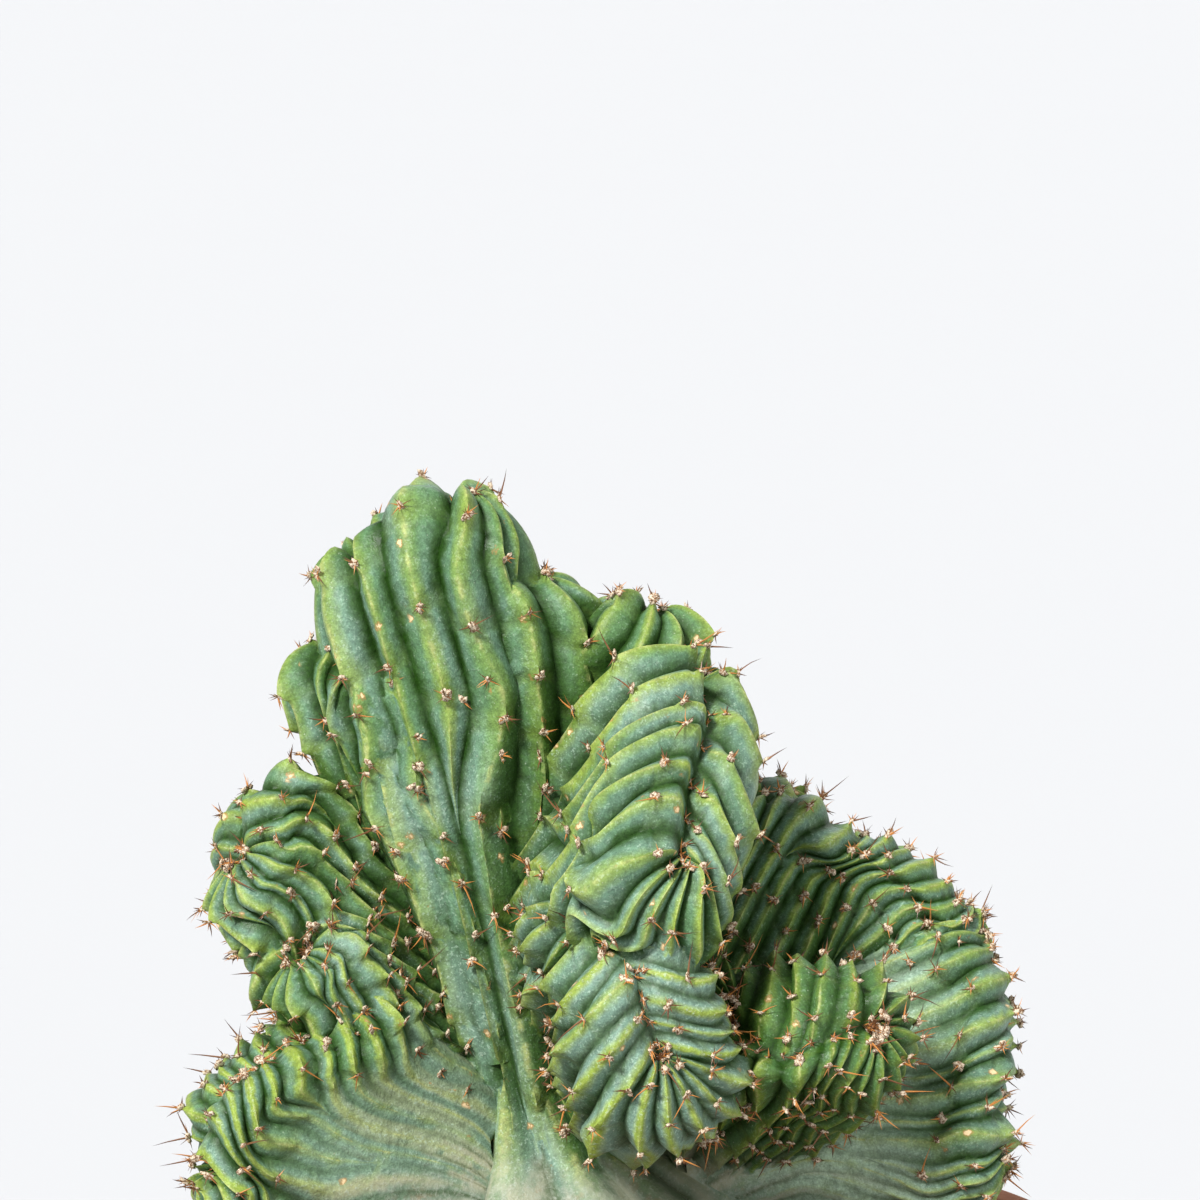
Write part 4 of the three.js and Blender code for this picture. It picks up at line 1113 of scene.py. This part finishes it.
class CACTUS_OT_pot(bpy.types.Operator):
    """Turns the plain tapered clay pot with its straight rim and drain hole"""
    bl_idname = "cactus.pot"
    bl_label = "Pot"

    def execute(self, context):
        look = context.scene.pot_look
        rim_foot = POT_TOP - RIM_HEIGHT
        corners = [
            ((DRAIN_RADIUS, 0), 1.0), ((FOOT_RADIUS, 0), 2.5), ((RIM_RADIUS - RIM_STEP, rim_foot), 1.5),
            ((RIM_RADIUS, rim_foot + 1), 3.5), ((RIM_RADIUS, POT_TOP), 3.0), ((INNER_RIM, POT_TOP), 2.5),
            ((INNER_FOOT, POT_WALL), 3.0), ((DRAIN_RADIUS, POT_WALL), 1.0),
        ]
        profile = []
        for number, (corner, radius) in enumerate(corners):
            before, after = corners[number - 1][0], corners[(number + 1) % len(corners)][0]
            profile += round_corner(before, corner, after, radius)
        mesh = make_mesh("clay_pot", *lathe_mesh(profile, look.pot_sides))
        place_piece(mesh, clay_material(look), "clay", "pot", sharp=40)
        return {"FINISHED"}


def mix_height(r):
    """The height of the mound of mix at a radius."""
    return POT_TOP - MIX_BELOW_RIM + MIX_RISE * (1 - ease(INNER_RIM * MOUND_SHARE, INNER_RIM, r))


class CACTUS_OT_mix(bpy.types.Operator):
    """Fills the pot with crumbly peat, chips of bark and white grit"""
    bl_idname = "cactus.mix"
    bl_label = "Potting mix"

    def execute(self, context):
        look = context.scene.mix_look
        edge = inner_radius(POT_TOP - MIX_BELOW_RIM) - MIX_GAP
        peat = crumb_material("peat", look.peat_dark, look.peat_pale, 3)
        place_piece(mix_surface(edge), peat, "mix", "potting_mix")
        tree = surface_tree(bpy.data.objects["crest_skin"].data)
        rng = np.random.default_rng(7)
        bark = crumb_material("bark", CHIP_DARK, CHIP_PALE, 1.5)
        grit = crumb_material("white_grit", GRIT_DARK, look.grit_pale, 1.0, 0.9)
        for name, material, count, sizes, heights in (
            ("peat_crumbs", peat, look.crumb_count, *PEAT_GRAINS),
            ("bark_chips", bark, look.crumb_count // PEAT_PER_CHIP, *CHIP_GRAINS),
            ("white_grit", grit, look.grit_count, *GRIT_GRAINS),
        ):
            mesh = make_mesh(name, *join(scatter(count, sizes, heights, edge, rng, tree)))
            place_piece(mesh, material, "mix", "potting_mix", sharp=60)
        return {"FINISHED"}


def mix_surface(edge):
    """The lumpy top of the mix and its plain sides, down to the pot's floor."""
    r = np.linspace(0.5, edge, MIX_RINGS)
    top = rings(r, mix_height(r) - MIX_SUNK, MIX_SIDES)
    places = [Vector((x, y, 0)) / MIX_BUMP_WIDTH for x, y, _ in top.reshape(-1, 3)]
    bumps = np.array([noise.fractal(place, 1, 2, 4) for place in places])
    top[..., 2] += MIX_BUMP * bumps.reshape(MIX_RINGS, MIX_SIDES)
    floor = POT_WALL + MIX_GAP
    low = rings([inner_radius(floor) * 0.99], [floor], MIX_SIDES)
    verts = np.vstack([top.reshape(-1, 3), low[0]])
    a, b, c, d = cell_corners(np.arange(len(verts)).reshape(-1, MIX_SIDES))
    verts = np.vstack([verts, [[0, 0, top[0, :, 2].mean()], [0, 0, floor]]])
    tris = np.vstack([
        triangles(a, d, c), triangles(a, c, b), triangles(a[0], b[0], len(verts) - 2),
        triangles(c[-1], d[-1], len(verts) - 1),
    ])
    shade = np.append(0.5 + 0.5 * bumps, np.zeros(MIX_SIDES + 2))
    return make_mesh("mix_surface", verts, tris, dict(shade=shade))


def scatter(count, sizes, heights, edge, rng, tree):
    """Irregular grains lying on the mix, clear of the plant."""
    verts, tris = ball()
    parts = []
    for number in range(count):
        r = edge * math.sqrt((number + 0.5) / count) * 0.985
        angle = number * GOLDEN_ANGLE + rng.uniform(-0.3, 0.3)
        size = rng.uniform(*sizes)
        x, y = r * math.cos(angle), r * math.sin(angle)
        z = float(mix_height(r)) - 0.4 + rng.uniform(-0.2, 0.6)
        if r + size > edge or tree.find_nearest(Vector((x, y, z)) * MM)[3] / MM < 0.6 * size:
            continue
        shape = verts * (1 + 0.22 * rng.normal(size=(len(verts), 1)))
        shape = shape * np.array([size, size * rng.uniform(0.5, 1), size * rng.uniform(*heights)])
        turn = Matrix.Rotation(rng.uniform(0, 2 * math.pi), 3, "Z")
        turn = turn @ Matrix.Rotation(rng.normal(0, 0.35), 3, "X")
        shade = np.full(len(verts), rng.random())
        parts.append((shape @ np.array(turn).T + (x, y, z), tris, dict(shade=shade)))
    return parts


class CACTUS_OT_stage(bpy.types.Operator):
    """Sets the plain pale floor, the soft studio light and the camera"""
    bl_idname = "cactus.stage"
    bl_label = "Stage"

    def execute(self, context):
        look = context.scene.stage_look
        scene = context.scene
        bpy.ops.mesh.primitive_circle_add(
            vertices=128, radius=FLOOR_RADIUS, fill_type="NGON", location=(0, 0, -FLOOR_DROP))
        floor = context.object
        floor.name = "floor"
        floor.data.materials.append(stage_material(look.floor_colour))
        aside = (PHOTO_MIDDLE - POT_AXIS_COLUMN) * PIXEL
        aim = Vector((aside, 0, CREST_BASE + AIM_ABOVE_BASE)) * MM
        back = direction(0, look.elevation)
        camera = bpy.data.objects.new("camera", bpy.data.cameras.new("camera"))
        camera.data.sensor_width = SENSOR
        camera.data.lens = SENSOR * look.distance / look.frame_width
        camera.data.clip_end = 200
        camera.location = aim + back * look.distance
        camera.rotation_euler = (-back).to_track_quat("-Z", "Y").to_euler()
        scene.collection.objects.link(camera)
        scene.camera = camera
        for name, (azimuth, height, softness, power) in LAMPS.items():
            lamp = bpy.data.objects.new(name, bpy.data.lights.new(name, "SUN"))
            lamp.data.angle = math.radians(softness)
            lamp.data.energy = power
            towards = direction(math.radians(azimuth), math.radians(height))
            lamp.rotation_euler = towards.to_track_quat("Z", "Y").to_euler()
            lamp.location = towards * 2
            scene.collection.objects.link(lamp)
        scene.world = studio_sky()
        scene.view_settings.view_transform = "Standard"
        return {"FINISHED"}


def direction(azimuth, height):
    """The way from the plant to a place round it: 0 is straight in front."""
    level = math.cos(height)
    return Vector((math.sin(azimuth) * level, -math.cos(azimuth) * level, math.sin(height)))


class CACTUS_PT_panel(bpy.types.Panel):
    """Lists what builds the cactus, with its sizes and colours"""
    bl_label = "Crested cactus"
    bl_space_type = "VIEW_3D"
    bl_region_type = "UI"
    bl_category = "Cactus"

    def draw(self, context):
        for operator in OPERATORS:
            self.layout.operator(operator.bl_idname)
        for name, group in LOOKS.items():
            box = self.layout.box()
            for key in group.__annotations__:
                box.prop(getattr(context.scene, name), key)


OPERATORS = (CACTUS_OT_skin, CACTUS_OT_areoles, CACTUS_OT_pot, CACTUS_OT_mix, CACTUS_OT_stage)
CLASSES = (*LOOKS.values(), *OPERATORS, CACTUS_PT_panel)


def register():
    for one in CLASSES:
        bpy.utils.register_class(one)
    for name, group in LOOKS.items():
        setattr(bpy.types.Scene, name, bpy.props.PointerProperty(type=group))


def unregister():
    for name in LOOKS:
        delattr(bpy.types.Scene, name)
    for one in reversed(CLASSES):
        bpy.utils.unregister_class(one)


def main():
    register()
    bpy.ops.cactus.skin()
    bpy.ops.cactus.areoles()
    bpy.ops.cactus.pot()
    bpy.ops.cactus.mix()
    bpy.ops.cactus.stage()


if __name__ == "__main__":
    main()
